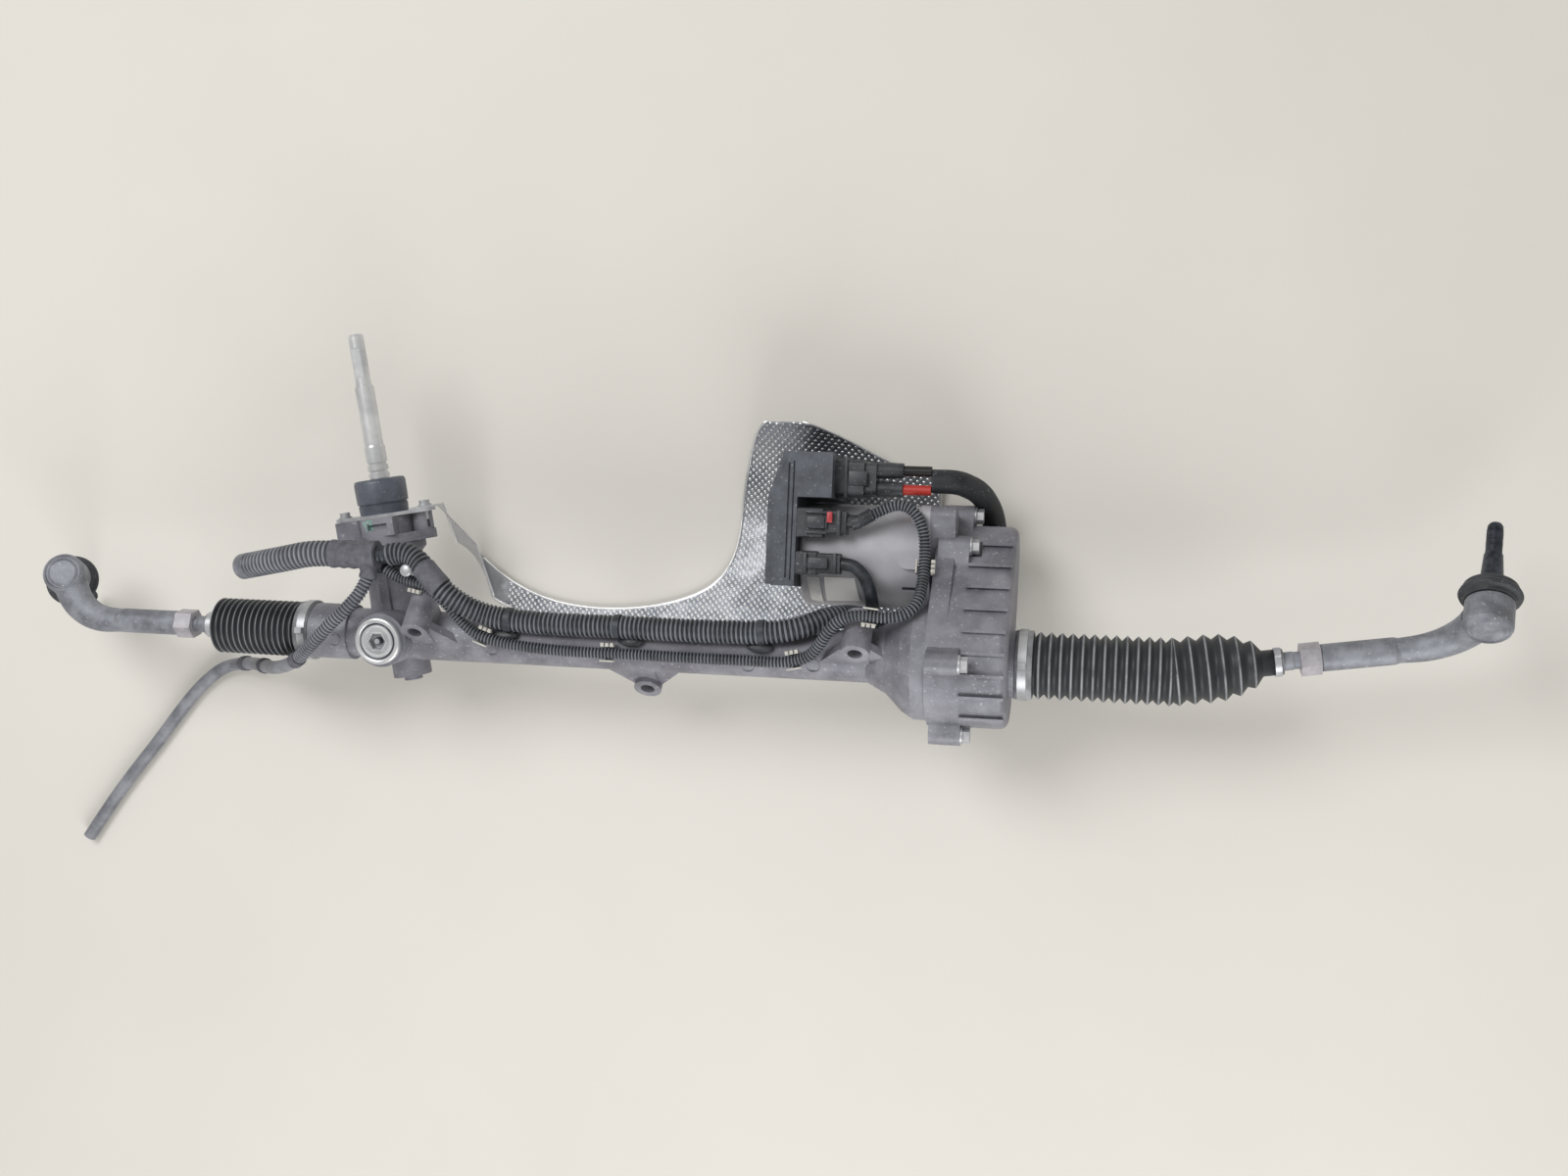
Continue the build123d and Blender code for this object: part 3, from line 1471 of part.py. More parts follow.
signal_route = [
    (-226, 57, 31),
    (-217, 51, 31),
    (-203, 47.5, 33),
    (-189, 45, 34.5),
    (-174, 34, 33),
    (-161, 20, 29.5),
    (-147, 6, 28.5),
    (-124, -2, 28),
    (-90, -5.5, 27.6),
    (-48, -7, 27.8),
    (0, -6.6, 27.2),
    (48, -7.2, 27.7),
    (96, -6.8, 27.3),
    (128, -7.4, 27.8),
    (147, -3, 29.5),
    (158, 7, 34),
    (167, 21, 41),
    (178, 32, 45),
    (192, 36, 46),
    (211, 34, 44.5),
    (229, 36, 43),
    (239.5, 47, 37),
    (241.5, 66, 22.5),
    (241, 88, 12.5),
    (239, 108, 10.5),
    (231, 123, 9.5),
    (217, 129, 8.6),
    (202, 123, 8.3),
    (188, 115.5, 8),
]
lead_route = [(171, 77, 8), (181, 76, 8.6), (190, 68, 9), (195, 56, 6), (196, 46, -4), (195, 41, -16)]
stub_route = [(-270.6, 68.5, 41), (-291, 68.5, 41), (-316, 63, 37), (-344, 58, 29.5), (-369, 54, 17)]
loose_route = [
    (-236.5, 53.5, 42),
    (-241.5, 38, 43.5),
    (-255, 22, 44),
    (-273, 5, 43),
    (-291, -12, 37),
    (-309, -26, 24),
    (-331, -34, 6),
    (-355, -37.5, -17),
    (-379, -37, -43),
    (-402, -37.5, -68),
    (-425, -39, -87),
    (-451, -45, -97.5),
    (-474, -64, -99.3),
    (-494, -89, -99.3),
    (-517, -121, -99.3),
    (-543, -154, -99.3),
    (-568, -189, -99.3),
    (-587, -219, -99.3),
]


def bend_radii(route):
    """Arc at each corner: 0.45 of the shorter run over the tangent of half the turn."""
    spots = [Vector(*spot) for spot in route]
    radii = []
    for before, corner, after in zip(spots, spots[1:], spots[2:]):
        half_turn = radians((corner - before).get_angle(after - corner)) / 2
        shorter = min((corner - before).length, (after - corner).length)
        radii.append(0.45 * shorter / tan(half_turn))
    return radii


def hose(name, route, radius):
    """Round tube along straight runs that tangent arcs join."""
    radii = bend_radii(route)
    print(name, "bend radii", [round(bend) for bend in radii])
    with BuildLine() as line:
        FilletPolyline(*[place(*spot) for spot in route], radius=radii)
    with BuildPart() as piece:
        with BuildSketch(Plane(origin=line.wire() @ 0, z_dir=line.wire() % 0)):
            Circle(radius)
        sweep(path=line.wire())
    length = line.wire().length
    print(name, "length", round(length, 1), "volume ratio", round(piece.part.volume / (pi * radius**2 * length), 4))
    piece.part.label = name
    export_step(piece.part, f"parts/{name}.step")


for name, route, radius in (
    ("main_conduit", main_route, main_radius),
    ("power_sleeve", sleeve_route, sleeve_radius),
    ("signal_conduit", signal_route, signal_radius),
    ("sensor_lead", lead_route, lead_radius),
    ("conduit_stub", stub_route, stub_radius),
    ("loose_harness", loose_route, loose_radius),
):
    hose(name, route, radius)

# Junction block where the branches meet, on a foot that the tower flange carries
with BuildPart() as harness_junction:
    with BuildSketch(level(31.5)) as block:
        with Locations((-247.5, 67.5)):
            RectangleRounded(46, 23, 6)
    extrude(block.sketch, amount=20)
    fillet(harness_junction.edges().group_by(Axis.Z)[-1], 5)
    with BuildSketch(level(12)) as foot:
        with Locations((-240, 65)):
            RectangleRounded(20, 13, 2)
    extrude(foot.sketch, amount=20)
    with BuildSketch(along_tower(0)) as flange:
        Circle(tower_flange + seat_gap)
    extrude(flange.sketch, amount=tower_top, mode=Mode.SUBTRACT)
harness_junction.part.label = "harness_junction"
export_step(harness_junction.part, "parts/harness_junction.step")


# Ring clips at the middle of straight runs, each with a small push foot toward the tube
with BuildPart() as harness_clips:
    for run in clip_runs:
        first, second = place(*signal_route[run]), place(*signal_route[run + 1])
        way = (second - first).normalized()
        ring = Plane(origin=(first + second) / 2 - way * clip_length / 2, x_dir=Vector(0, 0, 1).cross(way), z_dir=way)
        with BuildSketch(ring) as band:
            Circle(signal_radius + clip_wall)
            with Locations((signal_radius + clip_wall, 0)):
                RectangleRounded(5, 4, 1)
            Circle(signal_radius + free_gap, mode=Mode.SUBTRACT)
        extrude(band.sketch, amount=clip_length)
harness_clips.part.label = "harness_clips"
export_step(harness_clips.part, "parts/harness_clips.step")
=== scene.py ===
# %% [markdown]
# # A steering rack, dressed for the camera
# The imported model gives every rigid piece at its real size. This lesson adds what solids
# leave out: the camera, the light, the finish of each material, and the soft and fine
# pieces, such as the bellows, the ribbed conduits and the threads. Lengths are in metres.

# %% The frame and the size it starts with
import json
from math import cos, pi, radians, sin

import bmesh
import bpy
from mathutils import Matrix, Vector
from mathutils.bvhtree import BVHTree


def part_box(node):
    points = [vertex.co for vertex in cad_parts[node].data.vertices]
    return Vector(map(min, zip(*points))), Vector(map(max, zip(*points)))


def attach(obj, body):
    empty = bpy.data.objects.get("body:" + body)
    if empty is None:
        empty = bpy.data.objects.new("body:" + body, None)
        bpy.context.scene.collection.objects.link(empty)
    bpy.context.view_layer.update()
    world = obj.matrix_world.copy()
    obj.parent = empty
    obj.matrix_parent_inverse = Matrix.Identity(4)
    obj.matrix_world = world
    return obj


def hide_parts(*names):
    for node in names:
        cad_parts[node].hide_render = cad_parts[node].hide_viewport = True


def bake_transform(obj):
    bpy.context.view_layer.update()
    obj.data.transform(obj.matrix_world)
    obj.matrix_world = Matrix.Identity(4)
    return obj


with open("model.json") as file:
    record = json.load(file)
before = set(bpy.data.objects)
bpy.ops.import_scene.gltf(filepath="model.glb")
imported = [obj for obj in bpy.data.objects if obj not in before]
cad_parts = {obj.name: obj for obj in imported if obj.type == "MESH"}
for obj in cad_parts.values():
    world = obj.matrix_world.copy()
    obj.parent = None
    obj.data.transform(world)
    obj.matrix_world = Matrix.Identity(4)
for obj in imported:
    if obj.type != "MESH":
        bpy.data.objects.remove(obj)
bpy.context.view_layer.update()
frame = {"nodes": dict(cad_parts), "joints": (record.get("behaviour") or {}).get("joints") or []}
nodes = frame["nodes"]
print("pieces from the solids", len(nodes))

# %% [markdown]
# The rack's own axis is the handiest reference. Its height and depth come from the bellows,
# which are round about it, so the scene follows the solids if they move.

# %% The rack's axis
low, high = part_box("left_bellows")
axis_y = (low.y + high.y) / 2
axis_z = (low.z + high.z) / 2
MM = 0.001
ALONG = Vector((1, 0, 0))
UPWARDS = Vector((0, 0, 1))


def place(x, y, z):
    """A point given in millimetres from the rack's axis, in the frame's metres."""
    return Vector((x * MM, y * MM + axis_y, z * MM + axis_z))


print("rack axis", round(axis_y, 4), round(axis_z, 4))

# %% [markdown]
# The photograph looks down on the rack from about 1.4 m, a little from the right, with the
# whole part across the frame. A camera matrix says this more plainly than three angles: its
# columns are the camera's right, its up and the way backwards.

# %% Camera
YAW = radians(11.15)
ROLL = radians(2.4)
SENSOR_MM = 36
PHOTO_WIDTH = 1600
FOCAL_LENGTH = 1700  # in the photograph's pixels


def new_object(name, data):
    """Put a mesh, curve, camera or lamp into the scene as an object."""
    made = bpy.data.objects.new(name, data)
    bpy.context.scene.collection.objects.link(made)
    return made


forward = Vector((-sin(YAW), 0, -cos(YAW)))
right = forward.cross(Vector((0, 1, 0))).normalized()
right = Matrix.Rotation(-ROLL, 3, forward) @ right
up = right.cross(forward)
camera_data = bpy.data.cameras.new("camera")
camera_data.sensor_width = SENSOR_MM
camera_data.lens = SENSOR_MM * FOCAL_LENGTH / PHOTO_WIDTH
camera = new_object("camera", camera_data)
eye = place(394, 55, 1386)
camera.matrix_world = Matrix(
    (
        (right.x, up.x, -forward.x, eye.x),
        (right.y, up.y, -forward.y, eye.y),
        (right.z, up.z, -forward.z, eye.z),
        (0, 0, 0, 1),
    )
)
bpy.context.scene.camera = camera
print("camera at", [round(v, 3) for v in eye])

# %% [markdown]
# Colours are written as sRGB hex, the numbers a picture editor shows, and the shaders want
# linear light, so one function turns them. Another adds a node with its settings and links,
# where a node given as an input stands for its first output.

# %% Colour and node helpers


def linear(hex_colour):
    """sRGB hex to linear RGBA."""
    values = [int(hex_colour[i : i + 2], 16) / 255 for i in (0, 2, 4)]
    return [v / 12.92 if v <= 0.04045 else ((v + 0.055) / 1.055) ** 2.4 for v in values] + [1]


def add_node(tree, kind, settings=None, inputs=None, outputs=None):
    """Add a node, set its properties, set or link its inputs, and link its outputs onwards."""
    node = tree.nodes.new(kind)
    for name, value in (settings or {}).items():
        setattr(node, name, value)
    for name, value in (inputs or {}).items():
        if isinstance(value, bpy.types.Node):
            value = value.outputs[0]
        if isinstance(value, bpy.types.NodeSocket):
            tree.links.new(value, node.inputs[name])
        else:
            node.inputs[name].default_value = value
    for name, socket in (outputs or {}).items():
        tree.links.new(node.outputs[name], socket)
    return node


def new_material(name, metallic=0):
    """A plain node material: its tree, its surface shader and its Object coordinates."""
    material = bpy.data.materials.new(name)
    material.use_nodes = True
    tree = material.node_tree
    tree.nodes.clear()
    shader = add_node(tree, "ShaderNodeBsdfPrincipled", inputs={"Metallic": metallic})
    add_node(tree, "ShaderNodeOutputMaterial", inputs={"Surface": shader})
    coordinates = add_node(tree, "ShaderNodeTexCoord").outputs["Object"]
    return material, tree, shader, coordinates


# %% [markdown]
# Most finishes are three simple things on top of one another: soft clouds of a second colour,
# clouds that change the gloss, and a fine grain. Each cloud has a real size in millimetres,
# so a pattern is as large on the part as it is on the real metal, rubber or paper.

# %% Clouds, paint and grain
NOISE_ROUGHNESS = 0.6
COLOUR_SPAN = (0.35, 0.65)
GLOSS_SPAN = (0.3, 0.7)
SPECK_MM = 2.6
SPECK_SPAN = (0.66, 0.74)
SPECK_STRENGTH = (0, 0.75)


def cloud(tree, coordinates, size_mm, span, result, detail=4, onto=None):
    """Patches about size_mm across, with a span of the noise brought to a range of results."""
    noise = {"Vector": coordinates, "Scale": 1 / (size_mm * MM), "Detail": detail}
    patches = add_node(tree, "ShaderNodeTexNoise", inputs={**noise, "Roughness": NOISE_ROUGHNESS})
    ends = {"From Min": span[0], "From Max": span[1], "To Min": result[0], "To Max": result[1]}
    onward = {"Result": onto} if onto else None
    return add_node(tree, "ShaderNodeMapRange", None, {"Value": patches, **ends}, onward)


def paint(tree, shader, ground, layers):
    """Lay colours over a ground colour, each as strongly as its factor says."""
    colour = linear(ground)
    for factor, hex_colour in layers:
        mixed = {0: factor, 6: colour, 7: linear(hex_colour)}
        colour = add_node(tree, "ShaderNodeMix", {"data_type": "RGBA"}, mixed).outputs[2]
    tree.links.new(colour, shader.inputs["Base Color"])


def grain(tree, shader, coordinates, size_mm, depth_mm):
    """A fine relief of a real size and a real depth."""
    noise = {"Vector": coordinates, "Scale": 1 / (size_mm * MM), "Detail": 2}
    grains = add_node(tree, "ShaderNodeTexNoise", inputs={**noise, "Roughness": NOISE_ROUGHNESS})
    height = {"Height": grains, "Distance": depth_mm * MM, "Strength": 1}
    add_node(tree, "ShaderNodeBump", None, height, {"Normal": shader.inputs["Normal"]})


def surface(name, dark, light, size_mm, metallic, rough, grain_mm=None, depth_mm=0.05, specks=None):
    """A two-tone finish with rough patches and, where they are given, a grain and pale specks."""
    material, tree, shader, coordinates = new_material(name, metallic)
    layers = [(cloud(tree, coordinates, size_mm, COLOUR_SPAN, (0, 1)), light)]
    if specks:
        pale_patches = cloud(tree, coordinates, SPECK_MM, SPECK_SPAN, SPECK_STRENGTH, detail=1)
        layers.append((pale_patches, specks))
    paint(tree, shader, dark, layers)
    cloud(tree, coordinates, size_mm, GLOSS_SPAN, rough, onto=shader.inputs["Roughness"])
    if grain_mm:
        grain(tree, shader, coordinates, grain_mm, depth_mm)
    return material


# %% [markdown]
# The housings are die cast aluminium. Cast skin is pale grey and a little cloudy, with a
# fine orange-peel grain, so a large soft noise moves the colour and a small one the bump.

# %% Metals
die_cast = surface("die_cast_aluminium", "75757E", "9898A1", 30, 0.35, (0.46, 0.62), 1.1, 0.05, "BDBBC0")
motor_steel = surface("drawn_steel_can", "A9A9B0", "BFBFC5", 60, 0.25, (0.5, 0.58), 0.7, 0.008)
zinc_plate = surface("zinc_plated_steel", "A5A7AC", "CFD0D4", 26, 0.55, (0.32, 0.44), 0.5, 0.01)
turned_steel = surface("turned_steel", "B4B5B8", "D6D7D8", 40, 0.9, (0.22, 0.32), 0.6, 0.004)
forged_steel = surface("forged_steel", "74767E", "9B9EA7", 18, 0.4, (0.5, 0.66), 1.4, 0.07, "B9B6BA")
painted_nut = surface("painted_steel_nut", "9E9BA2", "BDBAC0", 12, 0.3, (0.4, 0.55), 0.8, 0.03)
bright_steel = surface("polished_steel", "C2C4C8", "E2E3E5", 30, 0.6, (0.26, 0.34))
dark_steel = surface("blued_steel", "33363D", "565B66", 8, 0.8, (0.32, 0.46), 0.5, 0.01)
cap_rubber = surface("smooth_cap_rubber", "4A4F5A", "666B77", 30, 0.1, (0.36, 0.46), 0.9, 0.01, "8A8C92")
dark_alloy = surface("dark_cast_alloy", "43464D", "5C6068", 14, 0.35, (0.45, 0.6), 0.9, 0.04, "8A8C92")

# %% [markdown]
# Moulded rubber and plastic are near black, never full black, with a soft sheen where they
# are rubbed and dusty patches where they are not.

# %% Rubbers and plastics
boot_rubber = surface("moulded_rubber", "2B2D31", "47494E", 24, 0, (0.45, 0.62), 0.9, 0.02, "77797D")
sleeve_plastic = surface("shrunk_sleeve", "17191D", "2C2F35", 16, 0, (0.5, 0.7), 0.9, 0.04, "6C6F75")
moulded_black = surface("moulded_black_plastic", "2A2C31", "43464C", 15, 0, (0.36, 0.5), 0.6, 0.02, "7D8085")
black_tape = surface("black_vinyl_tape", "22252B", "3B4048", 8, 0, (0.38, 0.55), 0.9, 0.04)
cloth_tape = surface("grey_cloth_tape", "54545C", "6C6C75", 7, 0, (0.65, 0.82), 0.8, 0.09)
white_nylon = surface("white_nylon", "B9B7B0", "D2D0C9", 8, 0, (0.35, 0.45), 0.6, 0.01)
label_paper = surface("blank_label", "F4F4F5", "FBFBFB", 12, 0, (0.4, 0.5))
foil_tape = surface("foil_tape", "D6D6D9", "ECECED", 9, 0.3, (0.3, 0.42), 2.0, 0.1)
paint_mark = surface("green_paint_mark", "7FA39B", "9AB8B0", 6, 0, (0.5, 0.6))
red_plastic = surface("red_lock_tab", "A02A35", "C04A50", 5, 0, (0.4, 0.5))
seat_plastic = surface("acetal_seat", "D2CFC3", "E6E3D8", 8, 0, (0.3, 0.4), 0.5, 0.01)
board_green = surface("circuit_board_green", "16422A", "22593A", 6, 0, (0.3, 0.5), 0.6, 0.02)

# %% [markdown]
# Ribbed mouldings are painted paler along their crests, partly dust and partly painted
# highlight, and keep their dark colour in their valleys. The shape itself says which is which:
# each ribbed piece carries an attribute named rib, 1 on a crest and 0 in a valley, so the dust
# and the painted highlight follow the ribs round every bend.

# %% Ribbed finishes
DUST_AND_HIGHLIGHT_MM = 18
DUST_AND_HIGHLIGHT_SPAN = (0.3, 0.62)


def ribbed(name, valley, crest, narrow, rough=(0.42, 0.6)):
    """Dark valleys and paler crests, partly dusty and partly painted highlight; narrow is where on the way
    up the paler colour begins.
    """
    material, tree, shader, coordinates = new_material(name)
    rib = add_node(tree, "ShaderNodeAttribute", {"attribute_name": "rib"}).outputs["Fac"]
    climb = {"Value": rib, "From Min": narrow}
    rise = add_node(tree, "ShaderNodeMapRange", {"interpolation_type": "SMOOTHSTEP"}, climb)
    pale_patches = cloud(tree, coordinates, DUST_AND_HIGHLIGHT_MM, DUST_AND_HIGHLIGHT_SPAN, (0.35, 1))
    both = add_node(tree, "ShaderNodeMath", {"operation": "MULTIPLY"}, {0: rise, 1: pale_patches})
    paint(tree, shader, valley, [(both, crest)])
    cloud(tree, coordinates, DUST_AND_HIGHLIGHT_MM, DUST_AND_HIGHLIGHT_SPAN, rough, onto=shader.inputs["Roughness"])
    grain(tree, shader, coordinates, 1.2, 0.02)
    return material


# The pale crests of the conduits are partly dust and partly painted highlight; on the bellows they are
# painted highlight.
conduit_plastic = ribbed("corrugated_polyamide", "1E2127", "767A82", 0.3)
dusty_conduit = ribbed("dusty_corrugated_polyamide", "3F424A", "8F9199", 0.2)
bellows_rubber = ribbed("bellows_rubber", "2A2D32", "A3A5AA", 0.72, (0.4, 0.6))

# %% [markdown]
# The heat shield is thin aluminium sheet, embossed all over with small dimples that stiffen
# it. The dimples are real shapes, laid on later. The sheet between them is painted darker as
# painted shade, and the domes and the rim are painted pale as a painted highlight, so the two
# get a colour each.

# %% Sheet of the heat shield
STRAP_X = -0.163
NECK = 0.004


def rolled_sheet(name, dark, light, strap):
    """Aluminium sheet that turns to the strap's colour past its narrow neck."""
    material, tree, shader, coordinates = new_material(name, metallic=0.85)
    patches = cloud(tree, coordinates, 35, COLOUR_SPAN, (0, 1))
    parts = add_node(tree, "ShaderNodeSeparateXYZ", inputs={"Vector": coordinates})
    neck = {"From Min": STRAP_X - NECK, "From Max": STRAP_X + NECK, "To Min": 1, "To Max": 0}
    past = add_node(tree, "ShaderNodeMapRange", inputs={"Value": parts.outputs["X"], **neck})
    paint(tree, shader, dark, [(patches, light), (past, strap)])
    cloud(tree, coordinates, 35, GLOSS_SPAN, (0.3, 0.44), onto=shader.inputs["Roughness"])
    grain(tree, shader, coordinates, 22, 1.6)
    return material


# The darker copy is painted shade and the pale copy a painted highlight; past the neck each turns to a strap
# colour.
sheet_painted_shade = rolled_sheet("aluminium_sheet_painted_shade", "8A8F99", "B0B3BA", "C4C6CA")
sheet_painted_highlight = rolled_sheet("aluminium_sheet_painted_highlight", "DADBDD", "F0F0F1", "F0F0F1")

# %% [markdown]
# The two power wires share one node, and the photograph shows one black and one red. An
# Object coordinate tells them apart: the red one lies nearer the rack.

# %% Wire colours
wire_low, wire_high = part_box("power_wires")


def wire_insulation():
    """Black insulation that is red below the middle of the pair."""
    material, tree, shader, coordinates = new_material("wire_insulation")
    parts = add_node(tree, "ShaderNodeSeparateXYZ", inputs={"Vector": coordinates})
    sides = {0: parts.outputs["Y"], 1: (wire_low.y + wire_high.y) / 2}
    below = add_node(tree, "ShaderNodeMath", {"operation": "LESS_THAN"}, sides)
    paint(tree, shader, "161617", [(below, "C23A32")])
    shader.inputs["Roughness"].default_value = 0.4
    grain(tree, shader, coordinates, 2.5, 0.02)
    return material


# %% [markdown]
# Every solid gets one finish. The table reads as a parts list does: a finish, and then the
# pieces that are made of it.

# %% Finishes of the solids
finishes = {
    die_cast: "rack_housing belt_cover sensor_housing pinion_end_cap yoke",
    motor_steel: "motor_housing",
    dark_alloy: "ecu_housing ecu_cover motor_stator dust_cap",
    zinc_plate: "fasteners clamp_plate bellows_bands left_rod_clip right_rod_clip yoke_plug",
    bright_steel: "input_shaft",
    turned_steel: "rack_bar inner_sockets pinion ball_nut motor_rotor bearings",
    forged_steel: "left_rod_end right_rod_end left_tie_rod right_tie_rod nut_pulley motor_pulley",
    painted_nut: "left_lock_nut right_lock_nut",
    dark_steel: "torsion_bar yoke_spring left_ball_stud right_ball_stud",
    boot_rubber: "left_bellows right_bellows left_boot right_boot drive_belt",
    moulded_black: "power_plug signal_plug sensor_plug harness_clips main_conduit signal_conduit"
    " conduit_stub",
    sleeve_plastic: "power_sleeve",
    cloth_tape: "harness_junction loose_harness",
    black_tape: "sensor_lead",
    seat_plastic: "left_inner_seat right_inner_seat left_outer_seat right_outer_seat rack_bush",
    board_green: "circuit_board torque_sensor",
    sheet_painted_shade: "heat_shield",
    wire_insulation(): "power_wires",
}
for material, names in finishes.items():
    for name in names.split():
        nodes[name].data.materials.clear()
        nodes[name].data.materials.append(material)
print("finishes", len(finishes))

# %% [markdown]
# Each conduit of the harness is one smooth NURBS spline through the same points as its
# solid.

# %% Routes of the harness, in millimetres from the rack's axis
main_route = [
    (-220, 69.5, 40), (-208, 72.5, 40), (-194, 67, 41), (-180, 53, 45), (-165, 39, 45.5),
    (-149, 28, 40), (-131, 20.5, 31), (-104, 17, 29.5), (-62, 16, 30), (-15, 16.5, 29.3),
    (35, 16, 30), (80, 16.5, 29.4), (118, 17.5, 29.5), (143, 23, 25.5), (161, 31, 12),
    (175, 34, -6), (189, 31, -32), (204, 23, -58), (226, 14, -78), (252, 16, -88),
]
signal_route = [
    (-226, 57, 31), (-217, 51, 31), (-203, 47.5, 33), (-189, 45, 34.5), (-174, 34, 33),
    (-161, 20, 29.5), (-147, 6, 28.5), (-124, -2, 28), (-90, -5.5, 27.6), (-48, -7, 27.8),
    (0, -6.6, 27.2), (48, -7.2, 27.7), (96, -6.8, 27.3), (128, -7.4, 27.8), (147, -3, 29.5),
    (158, 7, 34), (167, 21, 41), (178, 32, 45), (192, 36, 46), (211, 34, 44.5), (229, 36, 43),
    (239.5, 47, 37), (241.5, 66, 22.5), (241, 88, 12.5), (239, 108, 10.5), (231, 123, 9.5),
    (217, 129, 8.6), (202, 123, 8.3), (188, 115.5, 8),
]
stub_route = [(-270.6, 68.5, 41), (-291, 68.5, 41), (-316, 63, 37), (-344, 58, 29.5), (-369, 54, 17)]
loose_route = [
    (-236.5, 53.5, 42), (-241.5, 38, 43.5), (-255, 22, 44), (-273, 5, 43), (-291, -12, 37),
    (-309, -26, 24), (-331, -34, 6), (-355, -37.5, -17), (-379, -37, -43), (-402, -37.5, -68),
    (-425, -39, -87), (-451, -45, -97.5), (-474, -64, -99.3), (-494, -89, -99.3),
    (-517, -121, -99.3), (-543, -154, -99.3), (-568, -189, -99.3), (-587, -219, -99.3),
]


def spline_object(name, route):
    """A smooth curve whose control points are the route's points."""
    curve = bpy.data.curves.new(name, "CURVE")
    curve.dimensions = "3D"
    curve.resolution_u = 16
    spline = curve.splines.new("NURBS")
    spline.points.add(len(route) - 1)
    for point, spot in zip(spline.points, route):
        point.co = (*place(*spot), 1)
    spline.order_u = 3
    spline.use_endpoint_u = True
    return new_object(name, curve)


def line_of(curve_object):
    """The spline's own points, read from the evaluated curve with no bevel."""
    graph = bpy.context.evaluated_depsgraph_get()
    mesh = bpy.data.meshes.new_from_object(curve_object.evaluated_get(graph))
    points = [v.co.copy() for v in mesh.vertices]
    bpy.data.meshes.remove(mesh)
    return points


def length_of(points):
    """The length of a line through points."""
    return sum((b - a).length for a, b in zip(points, points[1:]))


# %% [markdown]
# Corrugated conduit is a tube of rings, so it is what Geometry Nodes do best. The tree
# resamples the spline into short steps and sweeps a circle along it, and the radius swells
# and narrows with the distance along the spline, once for each ring.

# %% A Geometry Nodes tree for tubes with rings
RING_SIZES = ("Radius", "Ring pitch", "Ring depth", "Rings from", "Rings to")
STEPS_PER_RING = 6.0
STEEPNESS = 2.2  # over 1, so that crests and valleys come out flat


def start_tree(name, labels):
    """A tree with one geometry and named sizes going in: the tree and those inputs."""
    tree = bpy.data.node_groups.new(name, "GeometryNodeTree")
    tree.interface.new_socket("Geometry", in_out="INPUT", socket_type="NodeSocketGeometry")
    for label in labels:
        tree.interface.new_socket(label, in_out="INPUT", socket_type="NodeSocketFloat")
    tree.interface.new_socket("Geometry", in_out="OUTPUT", socket_type="NodeSocketGeometry")
    return tree, add_node(tree, "NodeGroupInput").outputs


def end_tree(tree, shape, material):
    """End a tree as the export needs it: real triangles with one material."""
    real = add_node(tree, "GeometryNodeRealizeInstances", inputs={"Geometry": shape})
    last = {"Geometry": real, "Material": material}
    painted = add_node(tree, "GeometryNodeSetMaterial", inputs=last)
    add_node(tree, "NodeGroupOutput", inputs={"Geometry": painted})
    return tree


def ring_tube_tree(name, material):
    """Sweep a circle along a curve, with rings between two distances along it."""
    tree, given = start_tree(name, RING_SIZES)
    known = {label: given[label] for label in RING_SIZES}
    known["along"] = add_node(tree, "GeometryNodeSplineParameter").outputs["Length"]
    for word, operation, first, second in (
        ("step", "DIVIDE", "Ring pitch", STEPS_PER_RING),
        ("turns", "DIVIDE", "along", "Ring pitch"),
        ("angle", "MULTIPLY", "turns", 2 * pi),
        ("wave", "SINE", "angle", 0.0),
        ("steep", "MULTIPLY", "wave", STEEPNESS),
        ("topped", "MINIMUM", "steep", 1.0),
        ("capped", "MAXIMUM", "topped", -1.0),
        ("halved", "MULTIPLY", "capped", -0.5),
        ("fall", "ADD", "halved", 0.5),
        ("inside", "GREATER_THAN", "along", "Rings from"),
        ("before", "LESS_THAN", "along", "Rings to"),
        ("where", "MULTIPLY", "inside", "before"),
        ("valley", "MULTIPLY", "fall", "where"),
        ("dip", "MULTIPLY", "valley", "Ring depth"),
        ("radius", "SUBTRACT", "Radius", "dip"),
        ("rib", "SUBTRACT", 1.0, "valley"),
    ):
        terms = {0: known.get(first, first), 1: known.get(second, second)}
        known[word] = add_node(tree, "ShaderNodeMath", {"operation": operation}, terms).outputs[0]
    steps = {"Curve": given["Geometry"], "Length": known["step"]}
    path = add_node(tree, "GeometryNodeResampleCurve", {"mode": "LENGTH"}, steps)
    marked = add_node(
        tree,
        "GeometryNodeStoreNamedAttribute",
        {"data_type": "FLOAT", "domain": "POINT"},
        {"Geometry": path, "Name": "rib", "Value": known["rib"]},
    )
    swell = {"Curve": marked, "Radius": known["radius"]}
    sized = add_node(tree, "GeometryNodeSetCurveRadius", inputs=swell)
    section = {"Resolution": 24, "Radius": 1.0}
    circle = add_node(tree, "GeometryNodeCurvePrimitiveCircle", inputs=section)
    sweep = {"Curve": sized, "Profile Curve": circle, "Fill Caps": True}
    tube = add_node(tree, "GeometryNodeCurveToMesh", inputs=sweep)
    if "Scale" in tube.inputs:
        tree.links.new(known["radius"], tube.inputs["Scale"])
    smooth = add_node(tree, "GeometryNodeSetShadeSmooth", inputs={"Geometry": tube})
    return end_tree(tree, smooth, material)


